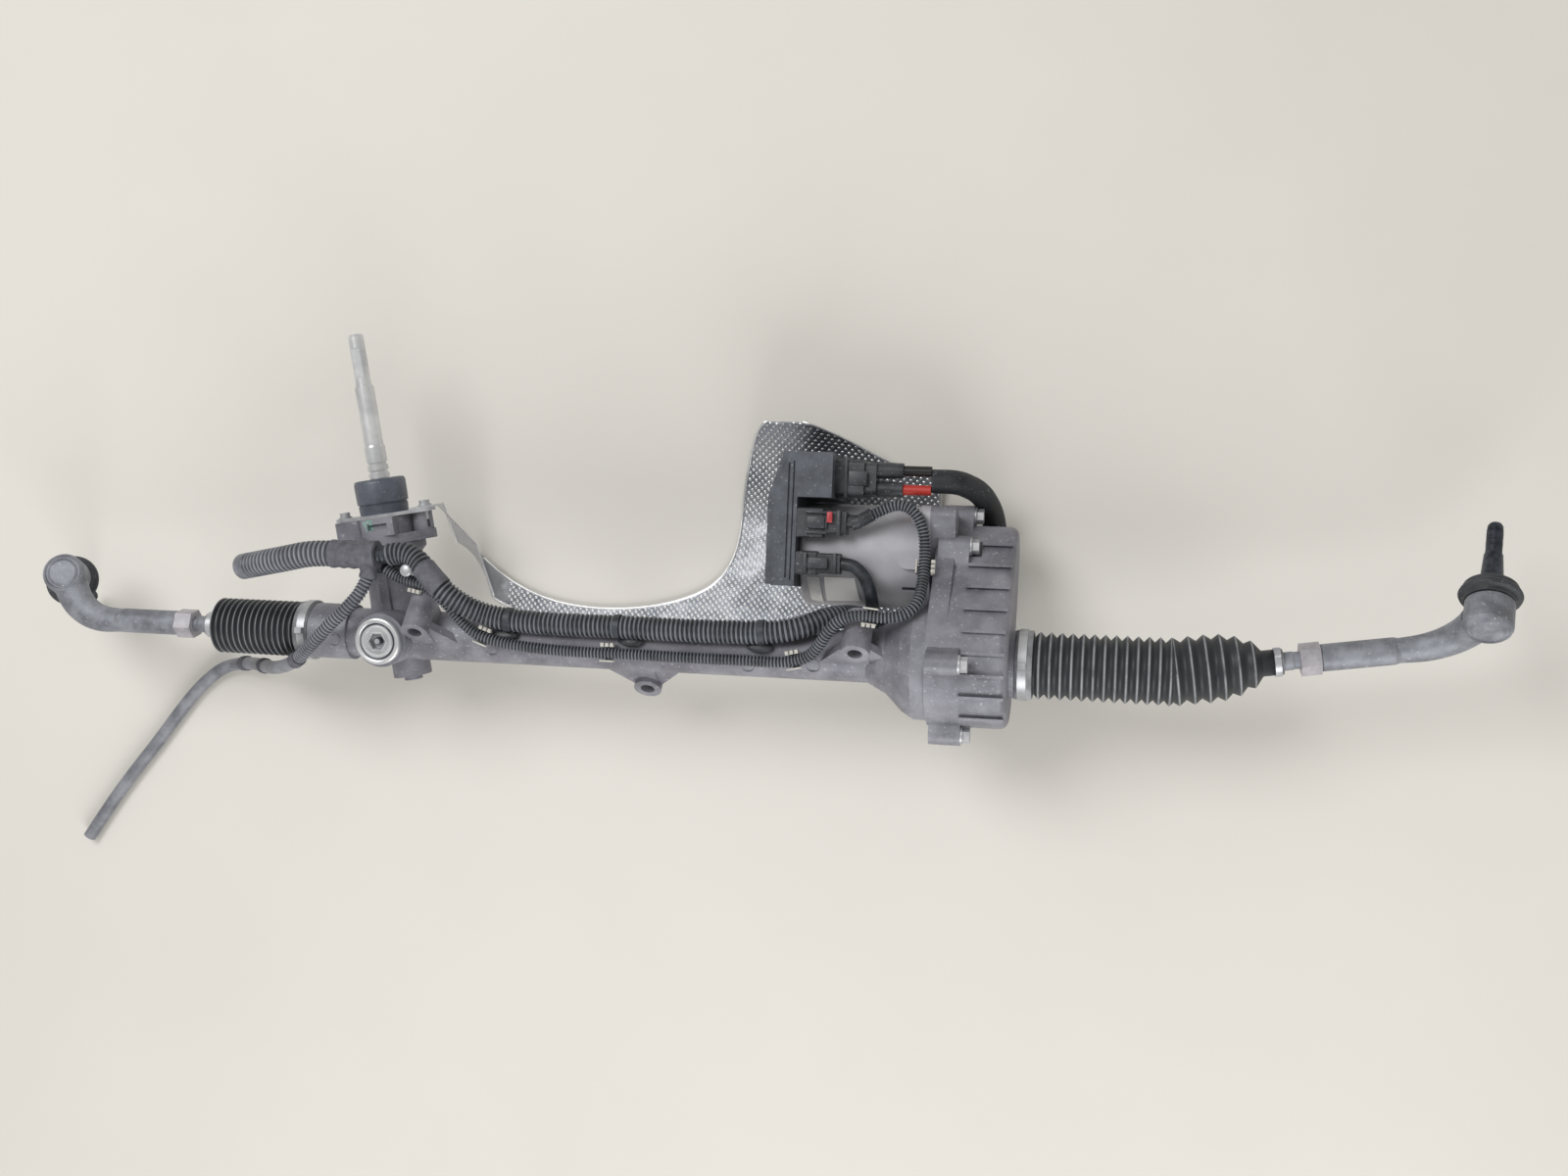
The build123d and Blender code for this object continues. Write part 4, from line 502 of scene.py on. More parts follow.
def apply_tree(host, tree, values, name):
    """Run a tree on host and return its result as a plain mesh object at the origin."""
    modifier = host.modifiers.new(tree.name, "NODES")
    modifier.node_group = tree
    for item in tree.interface.items_tree:
        if item.item_type == "SOCKET" and item.in_out == "INPUT" and item.name in values:
            modifier[item.identifier] = values[item.name]
    graph = bpy.context.evaluated_depsgraph_get()
    mesh = bpy.data.meshes.new_from_object(host.evaluated_get(graph))
    mesh.name = name
    bpy.data.objects.remove(host)
    return new_object(name, mesh)


def triangles(piece):
    """How many triangles a piece comes to."""
    return sum(len(polygon.vertices) - 2 for polygon in piece.data.polygons)


def sweep_tube(path, name, radius_mm, pitch_mm, depth_mm, start, stop, material):
    """Run the ring tree on a curve; start and stop bound the rings, in millimetres."""
    lengths = zip(RING_SIZES, (radius_mm, pitch_mm, depth_mm, start, stop))
    values = {label: length * MM for label, length in lengths}
    tube = apply_tree(path, ring_tube_tree(name + "_tree", material), values, name)
    print(name, "triangles", triangles(tube))
    return tube


def ringed_tube(name, route, radius_mm, pitch_mm, depth_mm, start, stop, material):
    """A conduit along a route, ringed between two distances, with its centreline."""
    path = spline_object(name + "_line", route)
    points = line_of(path)
    print(name, "length", round(length_of(points), 4))
    return sweep_tube(path, name, radius_mm, pitch_mm, depth_mm, start, stop, material), points


def stretch_of(points, start, stop):
    """The centreline between two distances along it, in millimetres, with both its ends."""
    run = 0
    kept = []
    for first, second in zip(points, points[1:]):
        step = (second - first).length
        for mark in (start * MM, stop * MM):
            if run < mark <= run + step:
                kept.append(first.lerp(second, (mark - run) / step))
        run += step
        if start * MM < run < stop * MM:
            kept.append(second)
    return kept


def distance_at(points, x):
    """How far along a centreline, in millimetres, it comes nearest to a place on x."""
    step = min(range(len(points) - 1), key=lambda n: abs(points[n].x - x * MM))
    return length_of(points[: step + 1]) / MM


def line_object(name, points):
    """A curve straight through points that lie close together."""
    curve = bpy.data.curves.new(name, "CURVE")
    curve.dimensions = "3D"
    spline = curve.splines.new("POLY")
    spline.points.add(len(points) - 1)
    for point, spot in zip(spline.points, points):
        point.co = (*spot, 1)
    return new_object(name, curve)


def band(name, line, start, stop, radius_mm, material, pitch_mm=3.0, depth_mm=0.0):
    """A sleeve, tape or tie round a centreline between two distances."""
    path = line_object(name + "_line", stretch_of(line, start, stop))
    piece = sweep_tube(path, name, radius_mm, pitch_mm, depth_mm, 0, stop - start, material)
    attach(piece, "housing")
    return piece


# %% Conduits that the rack holds
main_tube, main_line = ringed_tube(
    "main_conduit_rings", main_route, 9.9, 4.0, 1.5, 2, 600, conduit_plastic
)
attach(main_tube, "housing")
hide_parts("main_conduit")
signal_tube, signal_line = ringed_tube(
    "signal_conduit_rings", signal_route, 5, 3.0, 1.1, 2, 640, conduit_plastic
)
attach(signal_tube, "housing")
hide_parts("signal_conduit")

# %% [markdown]
# A smooth sleeve of grey tape closes the joint of the two pieces of main conduit, and thin
# black ties hold the conduit down on the tube. Each is a short sweep on the same centreline.

# %% Sleeve and ties on the main conduit
TIE_HALF_WIDTH = 2.6
TIE_PLACES = (-113, -14, 109)
band("main_conduit_sleeve", main_line, 38, 62, 10.5, cloth_tape)
for number, tie_x in enumerate(TIE_PLACES):
    spot = distance_at(main_line, tie_x)
    reach = (spot - TIE_HALF_WIDTH, spot + TIE_HALF_WIDTH)
    band(f"conduit_tie_{number}", main_line, *reach, 10.6, black_tape)

# %% [markdown]
# The thick stub is too short and stiff to hang, so it rides on the housing like a moulded
# piece. The thin branch is limp enough to lie on the floor, and it rides on the housing too.

# %% Free branches
stub_tube = ringed_tube("stub_rings", stub_route, 11.5, 4.4, 1.5, 2, 92, dusty_conduit)[0]
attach(stub_tube, "housing")
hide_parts("conduit_stub")
loose_tube, loose_line = ringed_tube("loose_harness_tube", loose_route, 6, 3.2, 1.0, 1, 120, dusty_conduit)
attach(loose_tube, "housing")
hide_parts("loose_harness")

# %% [markdown]
# The bellows cross the joint between the housing and the rack, so they stretch as it
# slides. A copy of each solid stands for it, and the copy's loose triangles are merged
# first. A point is a crest when its neighbours lie behind it, so the rib attribute comes from
# them, and it holds for folds that lean as well. Past the inner ball joint the bellows swing
# with the tie rod, so each copy is cut there into three parts.

# %% Bellows cut in three parts


def mesh_from(name, build):
    """A mesh from a bmesh, with its faces turned outwards."""
    bmesh.ops.recalc_face_normals(build, faces=build.faces)
    mesh = bpy.data.meshes.new(name)
    build.to_mesh(mesh)
    build.free()
    return mesh


def merged_copy(node, name):
    """A copy of a node's mesh with its points merged and its shading smooth."""
    build = bmesh.new()
    build.from_mesh(nodes[node].data)
    bmesh.ops.remove_doubles(build, verts=build.verts, dist=0.00001)
    mesh = mesh_from(name, build)
    mesh.polygons.foreach_set("use_smooth", [True] * len(mesh.polygons))
    return new_object(name, mesh)


def mark_ribs(mesh):
    """Store rib: 1 where a point stands out past its neighbours, 0 where it lies behind them."""
    build = bmesh.new()
    build.from_mesh(mesh)
    build.normal_update()
    standing = []
    for vertex in build.verts:
        steps = [edge.other_vert(vertex).co - vertex.co for edge in vertex.link_edges]
        lean_back = [-step.normalized().dot(vertex.normal) for step in steps]
        standing.append(sum(lean_back) / max(len(steps), 1))
    build.free()
    rib = mesh.attributes.new("rib", "FLOAT", "POINT")
    rib.data.foreach_set("value", [min(1, max(0, 0.5 + 2 * out)) for out in standing])


def slice_of(mesh, name, low_x, high_x):
    """The part of a closed mesh between two planes across the rack, closed again."""
    build = bmesh.new()
    build.from_mesh(mesh)
    for x, away in ((low_x, -1), (high_x, 1)):
        if x is None:
            continue
        cut = bmesh.ops.bisect_plane(
            build,
            geom=build.verts[:] + build.edges[:] + build.faces[:],
            plane_co=(x, 0, 0),
            plane_no=(away, 0, 0),
            clear_outer=True,
        )
        edges = [part for part in cut["geom_cut"] if isinstance(part, bmesh.types.BMEdge)]
        bmesh.ops.triangle_fill(build, use_beauty=True, edges=edges)
    part = mesh_from(name, build)
    part.materials.append(bellows_rubber)
    return new_object(name, part)


def bellows(side, fixed_x, bends_mm):
    """Three parts of a copy of the solid, cut across the rack at marks out from the inner ball joint."""
    whole = merged_copy(side + "_bellows", side + "_bellows_whole")
    mark_ribs(whole.data)
    ball = Vector(joints[side + "_inner_sway"]["pos_m"])
    out = -1 if side == "left" else 1
    marks = [Vector((fixed_x, ball.y, ball.z))]
    marks += [ball + Vector((out * reach * MM, 0, 0)) for reach in bends_mm]
    parts = (
        ("skin", "housing", "rack", None, marks[1].x),
        ("sway", "rack", side + "_seat", marks[1].x, marks[2].x),
        ("end", side + "_seat", side + "_rod", marks[2].x, None),
    )
    for number, (word, first, second, near, far) in enumerate(parts):
        bounds = (near, far) if out > 0 else (far, near)
        piece = slice_of(whole.data, f"{side}_bellows_{word}", *bounds)
        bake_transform(piece)
        if word == "skin":
            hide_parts(side + "_bellows")
        print(side, "bellows", word, "triangles", triangles(piece))
    bpy.data.objects.remove(whole)


joints = {joint["name"]: joint for joint in frame["joints"]}
LEFT_COLLAR = 0.012  # how much of each bellows grips the housing and stays still
RIGHT_COLLAR = 0.018
bellows("left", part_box("left_bellows")[1].x - LEFT_COLLAR, (27, 33, 43))
bellows("right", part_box("right_bellows")[0].x + RIGHT_COLLAR, (26, 34, 48))

# %% [markdown]
# Many small shapes repeat: teeth on clips, screw heads, dimples. Geometry Nodes place copies
# of one small mesh on points. Each point carries its own turn as an attribute, and the tree
# ends in real triangles with one material.

# %% A tree that places copies


def copies_tree(name, copy, material):
    """Place a copy of a small object on every point, turned by the point's own turn."""
    tree, given = start_tree(name, ("Size",))
    model = add_node(tree, "GeometryNodeObjectInfo", inputs={"Object": copy}).outputs["Geometry"]
    named = {"data_type": "FLOAT_VECTOR"}
    turn = add_node(tree, "GeometryNodeInputNamedAttribute", named, {"Name": "turn"})
    euler = add_node(tree, "FunctionNodeEulerToRotation", inputs={0: turn.outputs["Attribute"]})
    setting = {"Points": given["Geometry"], "Instance": model, "Rotation": euler}
    setting["Scale"] = given["Size"]
    placed = add_node(tree, "GeometryNodeInstanceOnPoints", inputs=setting)
    return end_tree(tree, placed, material)


def copies(name, model, frames, material):
    """Copies of a small mesh at each 4 by 4 frame, as one piece on the housing."""
    mesh = bpy.data.meshes.new(name + "_points")
    mesh.from_pydata([frame_at.translation for frame_at in frames], [], [])
    turn = mesh.attributes.new("turn", "FLOAT_VECTOR", "POINT")
    for value, frame_at in zip(turn.data, frames):
        value.vector = frame_at.to_euler()
    host = new_object(name + "_points", mesh)
    piece = apply_tree(host, copies_tree(name + "_tree", model, material), {"Size": 1.0}, name)
    bpy.data.objects.remove(model)
    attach(piece, "housing")
    print(name, "copies", len(frames), "triangles", triangles(piece))
    return piece


def upright_frame(spot, along, facing):
    """A frame at a spot: its x runs along, its z faces as near as it can to facing."""
    x = along.normalized()
    y = facing.cross(x).normalized()
    z = x.cross(y)
    matrix = Matrix((x, y, z)).transposed().to_4x4()
    matrix.translation = spot
    return matrix


# %% [markdown]
# Small moulded shapes start as blocks in mesh code, and a bevel rounds their edges, so they
# catch the light as real mouldings do.

# %% Small mesh helpers
BEVEL_ANGLE = 0.5
SHARP_ANGLE = radians(40)


def mesh_object(name, build, bevel_mm=0.0):
    """Turn a bmesh into an object, with its edges rounded by a bevel."""
    if bevel_mm:
        shared = [edge for edge in build.edges if len(edge.link_faces) == 2]
        sharp = [edge for edge in shared if edge.calc_face_angle() > BEVEL_ANGLE]
        rounding = {"offset": bevel_mm * MM, "segments": 2, "profile": 0.5}
        bmesh.ops.bevel(build, geom=sharp, affect="EDGES", **rounding)
    mesh = mesh_from(name, build)
    mesh.polygons.foreach_set("use_smooth", [True] * len(mesh.polygons))
    mesh.set_sharp_from_angle(angle=SHARP_ANGLE)
    return new_object(name, mesh)


def moulding(name, build, bevel_mm, material):
    """A mesh drawn about the rack's axis, put in its place with its finish."""
    piece = mesh_object(name, build, bevel_mm)
    piece.data.transform(Matrix.Translation((0, axis_y, axis_z)))
    piece.data.materials.append(material)
    return piece


def block(build, centre, size):
    """Add a block to a bmesh, with its centre and size in millimetres."""
    matrix = Matrix.Translation(Vector(centre) * MM) @ Matrix.Diagonal((*(Vector(size) * MM), 1))
    bmesh.ops.create_cube(build, size=1, matrix=matrix)


def lathe(build, outline, sides=28, hollow=False):
    """Turn (radius, height) points in millimetres about z, as a solid or as a hollow ring."""
    rings = []
    for radius, height in outline:
        ring = []
        for step in range(sides):
            angle = 2 * pi * step / sides
            spot = Vector((radius * cos(angle), radius * sin(angle), height)) * MM
            ring.append(build.verts.new(spot))
        rings.append(ring)
    pairs = list(zip(rings, rings[1:]))
    if hollow:
        pairs.append((rings[-1], rings[0]))
    else:
        build.faces.new(reversed(rings[0]))
        build.faces.new(rings[-1])
    for lower, upper in pairs:
        for step in range(sides):
            after = (step + 1) % sides
            build.faces.new((lower[step], lower[after], upper[after], upper[step]))


# %% [markdown]
# Six clips hold the thin conduit. Each is a white moulding with three small teeth on one
# side of the conduit and a flat bar on the other, joined by a dark band under the conduit.

# %% Clips on the thin conduit
CLIP_RUNS = ((2, -1), (6, 1), (9, 1), (13, 1), (18, -1), (22, -1))


def nearest_step(points, spot):
    """The number of the centreline point that lies nearest to a spot."""
    return min(range(1, len(points) - 1), key=lambda n: (points[n] - spot).length)


clip_frames = []
for run, side in CLIP_RUNS:
    middle = (place(*signal_route[run]) + place(*signal_route[run + 1])) / 2
    step = nearest_step(signal_line, middle)
    along = signal_line[step + 1] - signal_line[step - 1]
    clip_frames.append(upright_frame(signal_line[step], along * side, UPWARDS))
teeth = bmesh.new()
for offset in (-4.2, 0, 4.2):
    block(teeth, (offset, 7.4, 1.2), (3, 3.4, 4.4))
block(teeth, (0, 6.4, -0.6), (12.5, 1.4, 3))
block(teeth, (0, -6.3, 0.8), (12.5, 1.4, 5))
clip_teeth = mesh_object("clip_teeth", teeth, 0.35)
copies("harness_clip_teeth", clip_teeth, clip_frames, white_nylon)
under = bmesh.new()
block(under, (0, 0, -5.6), (7, 12.6, 1.6))
clip_foot = mesh_object("clip_foot", under, 0.3)
clip_feet = copies("harness_clip_feet", clip_foot, clip_frames, moulded_black)
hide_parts("harness_clips")

# %% [markdown]
# The joint of the harness is a T wrapped in grey cloth tape. A soft swell along one short
# spline makes its body, a second one its branch, and a bracket holds it to the tower.

# %% Taped T
t_route = [(-272, 68.5, 41), (-262, 68.5, 41), (-250, 68.2, 41), (-240, 68.5, 41), (-230, 69, 41)]
t_body = ringed_tube("harness_joint", t_route, 12.4, 9.0, 0.7, 2, 42, cloth_tape)[0]
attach(t_body, "housing")
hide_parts("harness_junction")
branch_route = [(-240, 64, 41), (-238, 58, 41.5), (-237, 53, 42), (-238, 48, 42.3)]
branch = ringed_tube("harness_branch", branch_route, 7.6, 6.0, 0.5, 2, 12, cloth_tape)[0]
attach(branch, "housing")
bundle_route = [(-233, 69, 41), (-226, 69.2, 41), (-221, 69.6, 40.5), (-215, 70.6, 40)]
bundle = ringed_tube("harness_bundle", bundle_route, 8.2, 3.6, 0.7, 1, 17, black_tape)[0]
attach(bundle, "housing")
arm = bmesh.new()
block(arm, (-219, 57.5, 28), (38, 9, 2.4))
block(arm, (-234, 59, 31), (8, 9, 8))
bracket = moulding("harness_bracket", arm, 0.8, moulded_black)
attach(bracket, "housing")
head = bmesh.new()
screw_outline = [(3.6, -16), (3.6, 0), (5.3, 0.2), (5.5, 1.2), (5.2, 2.4), (4.2, 3.1), (2.2, 3.5)]
lathe(head, screw_outline + [(0.4, 3.6)])
screw_head = mesh_object("bracket_screw_head", head)
screw_frame = upright_frame(place(-201.5, 56.5, 44), ALONG, UPWARDS)
copies("bracket_screw", screw_head, [screw_frame], zinc_plate)

# %% [markdown]
# The thick conduit has push pins with oval heads, which sit on the tube between the two
# conduits. A ray cast down onto the casting finds the height of each seat.

# %% Push pins and cast marks
PIN_PLACES = ((-117, 4), (-5, 4), (107, 4))
PIN_LIFT_MM = 3
RAY_START_MM = 300
MARK_PLACES = ((-131, -9), (152, -9), (-276, -7), (96, -12))


def surface_of(node):
    """A search tree of a solid's triangles."""
    mesh = nodes[node].data
    return BVHTree.FromPolygons([v.co for v in mesh.vertices], [p.vertices for p in mesh.polygons])


casting = surface_of("rack_housing")


def seat(tree, x, y):
    """Where a ray straight down meets a solid, and the way its surface faces."""
    return tree.ray_cast(place(x, y, RAY_START_MM), -UPWARDS)[:2]


oval = bmesh.new()
lathe(oval, [(3, -3), (3, 0), (6, 0.3), (6.4, 1.4), (5.4, 2.4), (2.5, 2.9), (0.4, 3.0)])
bmesh.ops.scale(oval, vec=(1.75, 0.78, 1), verts=oval.verts)
pin_head = mesh_object("push_pin_head", oval)
pins = []
for x, y in PIN_PLACES:
    spot, normal = seat(casting, x, y)
    pins.append(upright_frame(spot + normal * PIN_LIFT_MM * MM, ALONG, normal))
copies("push_pins", pin_head, pins, moulded_black)
ring = bmesh.new()
lathe(ring, [(5.6, -0.6), (6.2, 0.1), (6.0, 0.35), (5.5, 0.35), (5.2, 0.1), (5.0, -0.6)])
mark_ring = mesh_object("cast_mark_ring", ring)
marks = []
for x, y in MARK_PLACES:
    spot, normal = seat(casting, x, y)
    marks.append(upright_frame(spot, ALONG, normal))
copies("cast_marks", mark_ring, marks, die_cast)

# %% [markdown]
# The sheet of the heat shield is embossed in rows of dimples about 4 mm apart. A grid of
# points falls straight onto the solid, each point that lands becomes a small round dome, and
# the same is done from behind. The domes are few-sided, as there are thousands of them.

# %% Dimples of the heat shield
DIMPLE_MM = 4.2
DOME_OUTLINE = [(1.75, -0.1), (1.3, 0.42), (0.55, 0.66)]
GRID_GAP = 0.02
ROW_SLANT = radians(38)
shield_low, shield_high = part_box("heat_shield")


def dimple_tree(name, target, dome, direction, material):
    """Drop a grid of points along a direction onto a solid and set a dome on each hit."""
    tree, given = start_tree(name, ("Size",))
    sheet = add_node(tree, "GeometryNodeObjectInfo", inputs={"Object": target}).outputs["Geometry"]
    model = add_node(tree, "GeometryNodeObjectInfo", inputs={"Object": dome}).outputs["Geometry"]
    fall = {"Target Geometry": sheet, "Ray Direction": direction, "Ray Length": 1.0}
    ray = add_node(tree, "GeometryNodeRaycast", inputs=fall)
    upright = {"Vector": ray.outputs["Hit Normal"]}
    turn = add_node(tree, "FunctionNodeAlignRotationToVector", {"axis": "Z"}, upright)
    landed = {0: ray.outputs["Is Hit"]}
    missed = add_node(tree, "FunctionNodeBooleanMath", {"operation": "NOT"}, landed)
    points = given["Geometry"]
    marks = {}
    for word, kind, value in (("lean", "QUATERNION", turn), ("missed", "BOOLEAN", missed)):
        points = add_node(
            tree,
            "GeometryNodeStoreNamedAttribute",
            {"data_type": kind, "domain": "POINT"},
            {"Geometry": points, "Name": word, "Value": value},
        )
        mark = add_node(tree, "GeometryNodeInputNamedAttribute", {"data_type": kind}, {"Name": word})
        marks[word] = mark.outputs["Attribute"]
    landing = {"Geometry": points, "Position": ray.outputs["Hit Position"]}
    moved = add_node(tree, "GeometryNodeSetPosition", inputs=landing)
    strays = {"Geometry": moved, "Selection": marks["missed"]}
    kept = add_node(tree, "GeometryNodeDeleteGeometry", {"domain": "POINT"}, strays)
    setting = {"Points": kept, "Instance": model, "Rotation": marks["lean"], "Scale": given["Size"]}
    placed = add_node(tree, "GeometryNodeInstanceOnPoints", inputs=setting)
    return end_tree(tree, placed, material)


def dimples(name, height, direction):
    """One face of the shield: a slanted grid of points, and a dome for each that lands."""
    middle = (shield_low + shield_high) / 2
    half = int(0.5 * (shield_high - shield_low).length / (DIMPLE_MM * MM)) + 1
    steps = [step * DIMPLE_MM * MM for step in range(-half, half + 1)]
    slant = Matrix.Rotation(ROW_SLANT, 3, "Z")
    grid = [slant @ Vector((x, y, 0)) + middle for y in steps for x in steps]
    spots = [
        (spot.x, spot.y, height)
        for spot in grid
        if STRAP_X < spot.x < shield_high.x and shield_low.y < spot.y < shield_high.y
    ]
    mesh = bpy.data.meshes.new(name + "_points")
    mesh.from_pydata(spots, [], [])
    host = new_object(name + "_points", mesh)
    build = bmesh.new()
    lathe(build, DOME_OUTLINE, 6)
    dome = mesh_object(name + "_dome", build)
    # The domes carry the pale painted highlight colour of the sheet.
    tree = dimple_tree(name + "_tree", nodes["heat_shield"], dome, direction, sheet_painted_highlight)
    piece = apply_tree(host, tree, {"Size": 1.0}, name)
    bpy.data.objects.remove(dome)
    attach(piece, "housing")
    print(name, "points", len(spots), "triangles", triangles(piece))


dimples("shield_dimples_front", shield_high.z + GRID_GAP, -UPWARDS)
dimples("shield_dimples_back", shield_low.z - GRID_GAP, UPWARDS)

# %% [markdown]
# The edge of the sheet is rolled into a bead, painted pale as a painted highlight. Its path is
# where the upright cut face of the solid meets the upper face, so those edges are picked by
# their faces and chained.

# %% Rolled rim
UPRIGHT = 0.04  # the most that the normal of a cut face may rise
RISING = 0.25  # the least that the normal of the upper face rises
SHORTEST_RIM = 0.03


def rim_chains(node):
    """Chains of points where an upright cut face meets a face that looks up."""
    build = bmesh.new()
    build.from_mesh(nodes[node].data)
    bmesh.ops.remove_doubles(build, verts=build.verts, dist=0.00002)
    after = {}
    for edge in build.edges:
        if len(edge.link_faces) != 2:
            continue
        steep = sorted(abs(f.normal.z) for f in edge.link_faces)
        rising = max(f.normal.z for f in edge.link_faces)
        if steep[0] < UPRIGHT and rising > RISING:
            first, second = edge.verts
            after.setdefault(first.index, []).append(second.index)
            after.setdefault(second.index, []).append(first.index)
    places_of = {v.index: v.co.copy() for v in build.verts}
    build.free()
    chains = []
    unused = set(after)
    while unused:
        ends = [n for n in unused if len(after[n]) == 1] or list(unused)
        step = min(ends)
        chain = [step]
        unused.discard(step)
        while True:
            onward = [n for n in after[step] if n in unused]
            if not onward:
                break
            step = onward[0]
            unused.discard(step)
            chain.append(step)
        chains.append([places_of[n] for n in chain])
    return chains


chains = [chain for chain in rim_chains("heat_shield") if length_of(chain) > SHORTEST_RIM]
for number, chain in enumerate(sorted(chains, key=length_of, reverse=True)):
    rim_path = line_object(f"shield_rim_line_{number}", chain)
    shield_rim = sweep_tube(rim_path, f"shield_rim_{number}", 1.4, 15.0, 0, 0, 0, sheet_painted_highlight)
    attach(shield_rim, "housing")
    print("rim", number, "length", round(length_of(chain), 3))

# %% [markdown]
# A thin sheet, such as a label, is a small grid whose points drop straight down onto the
# solid under it, so it bends with the solid. It gets a little thickness of its own. The
# label keeps its place and its white paper, and carries no print.

# %% Label, foil, painted shade of a slot, and paint mark


def laid_sheet(name, tree, corners, material, lift_mm=0.25, steps=10):
    """A thin sheet between four corners, laid onto a solid from above."""
    a, b, c, d = map(Vector, corners)
    build = bmesh.new()
    rows = []
    for i in range(steps + 1):
        row = []
        for j in range(steps + 1):
            flat = (a.lerp(b, j / steps)).lerp(d.lerp(c, j / steps), i / steps)
            spot, normal = seat(tree, flat.x, flat.y)
            row.append(build.verts.new(spot + normal * lift_mm * MM))
        rows.append(row)
    for lower, upper in zip(rows, rows[1:]):
        for j in range(steps):
            build.faces.new((lower[j], lower[j + 1], upper[j + 1], upper[j]))
    bmesh.ops.recalc_face_normals(build, faces=build.faces)
    bmesh.ops.solidify(build, geom=build.faces[:], thickness=lift_mm * MM)
    piece = mesh_object(name, build)
    piece.data.materials.append(material)
    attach(piece, "housing")
    print(name, "triangles", triangles(piece))


can = surface_of("motor_housing")
laid_sheet("motor_label", can, [(154, 66), (180, 66), (183, 47), (154, 46)], label_paper)
laid_sheet("motor_foil", can, [(139, 66), (150, 66), (151, 45), (141, 47)], foil_tape, 0.5)
# A thin black sheet laid on the can stands for a slot: it is painted shade, with no recess.
laid_sheet("motor_slot", can, [(220, 60), (236, 60), (236, 58), (220, 58)], moulded_black, 0.15, 4)
laid_sheet("motor_tape_end", can, [(221, 57), (235, 57), (235, 50), (221, 50)], motor_steel, 0.3, 4)
sensor_skin = surface_of("sensor_housing")
dab = [(-254, 99), (-243, 99), (-244, 91), (-248, 88)]
laid_sheet("sensor_paint", sensor_skin, dab, paint_mark, 0.12, 6)

# %% [markdown]
# The plugs of the control unit carry latches, collars and a red lock tab. The signal
# conduit ends in a short rubber boot that grips the plug's nose.

# %% Plug details
PLUG_BLOCKS = (
    ((149, 111, 18.0), (15, 10, 2.2)),
    ((149, 119.5, 17.8), (19, 2.2, 1.6)),
    ((149, 102.5, 17.8), (19, 2.2, 1.6)),
    ((168, 111, 9), (3, 21, 15)),
    ((173.5, 111, 9), (2, 19, 14)),
    ((152, 77, 17.2), (16, 9, 2.2)),
    ((141, 77, 17.0), (3, 17, 1.6)),
    ((166, 77, 9), (3, 17.5, 13.5)),
    ((180, 150, -0.6), (16, 12, 2.4)),
    ((170, 150, -16), (3, 34, 33)),
)
plug_parts = bmesh.new()
for centre, extent in PLUG_BLOCKS:
    block(plug_parts, centre, extent)
plug_details = moulding("plug_details", plug_parts, 0.5, moulded_black)
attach(plug_details, "housing")
tab = bmesh.new()
block(tab, (160.5, 115.5, 17.6), (4.5, 9, 2.6))
red_tab = moulding("red_lock_tab", tab, 0.4, red_plastic)
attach(red_tab, "housing")
boot_route = [(195, 119.4, 8.2), (189, 116, 8), (184, 113, 8.2), (178, 111, 8.6)]
signal_boot = ringed_tube("signal_boot", boot_route, 5.9, 2.4, 0.6, 1, 12, moulded_black)[0]
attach(signal_boot, "housing")
print("plug blocks", len(PLUG_BLOCKS))

# %% [markdown]
# The rubber cap of the steering column end is a smooth barrel with one thin groove. The yoke
# plug under it is stamped with two raised rings and holds a dark pin. Both are turned shapes,
# so one outline each is enough. Their axes lean as the tower and the yoke do.

# %% Dust cap and yoke plug
CAP_HALF = 0.013
YOKE_X = -227
lean = radians(9.3)
yoke_tilt = radians(8)
tower_way = Vector((-sin(lean), cos(lean) * cos(yoke_tilt), cos(lean) * sin(yoke_tilt)))


def frame_on(origin, way):
    """A frame whose z runs along a way, standing at an origin."""
    return upright_frame(origin, ALONG - way * way.x, way)


cap = bmesh.new()
cap_outline = [(16, 0.2), (20.6, 0.6), (21.2, 4), (21.6, 10.5), (20.9, 11), (20.9, 12), (22.3, 12.6)]
cap_outline += [(22.6, 23), (22.6, 30), (22, 32.4), (20.8, 33.4), (18, 33.8), (13.2, 33.2)]
cap_outline += [(11.2, 31.6), (11.0, 28)]
lathe(cap, cap_outline, 56)
cap_model = mesh_object("dust_cap_model", cap)
cap_low, cap_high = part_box("dust_cap")
cap_foot = (cap_low + cap_high) / 2 - tower_way * CAP_HALF
cap_piece = copies("dust_cap_barrel", cap_model, [frame_on(cap_foot, tower_way)], cap_rubber)
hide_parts("dust_cap")
yoke_way = Vector((0, -sin(yoke_tilt), cos(yoke_tilt)))
yoke_frame = frame_on(place(YOKE_X, 0, 0), yoke_way)
stamped = bmesh.new()
outer_ring = [(20.1, 41.6), (20.0, 42.4), (19.2, 42.9), (17.6, 42.9), (16.8, 42.4), (16.6, 41.6)]
lathe(stamped, outer_ring, 48, True)
lathe(stamped, [(13.9, 42.2), (13.6, 43.0), (12.8, 43.2), (11.6, 43.0), (11.2, 42.2)], 48, True)
lathe(stamped, [(9.6, 42.2), (9.4, 43.1), (8.8, 43.2), (8.2, 42.2)], 6, True)
rings_model = mesh_object("plug_rings_model", stamped)
copies("plug_rings", rings_model, [yoke_frame], bright_steel)
dark = bmesh.new()
lathe(dark, [(3.2, 36), (3.2, 41.4), (2.6, 42), (0.4, 42.1)], 20)
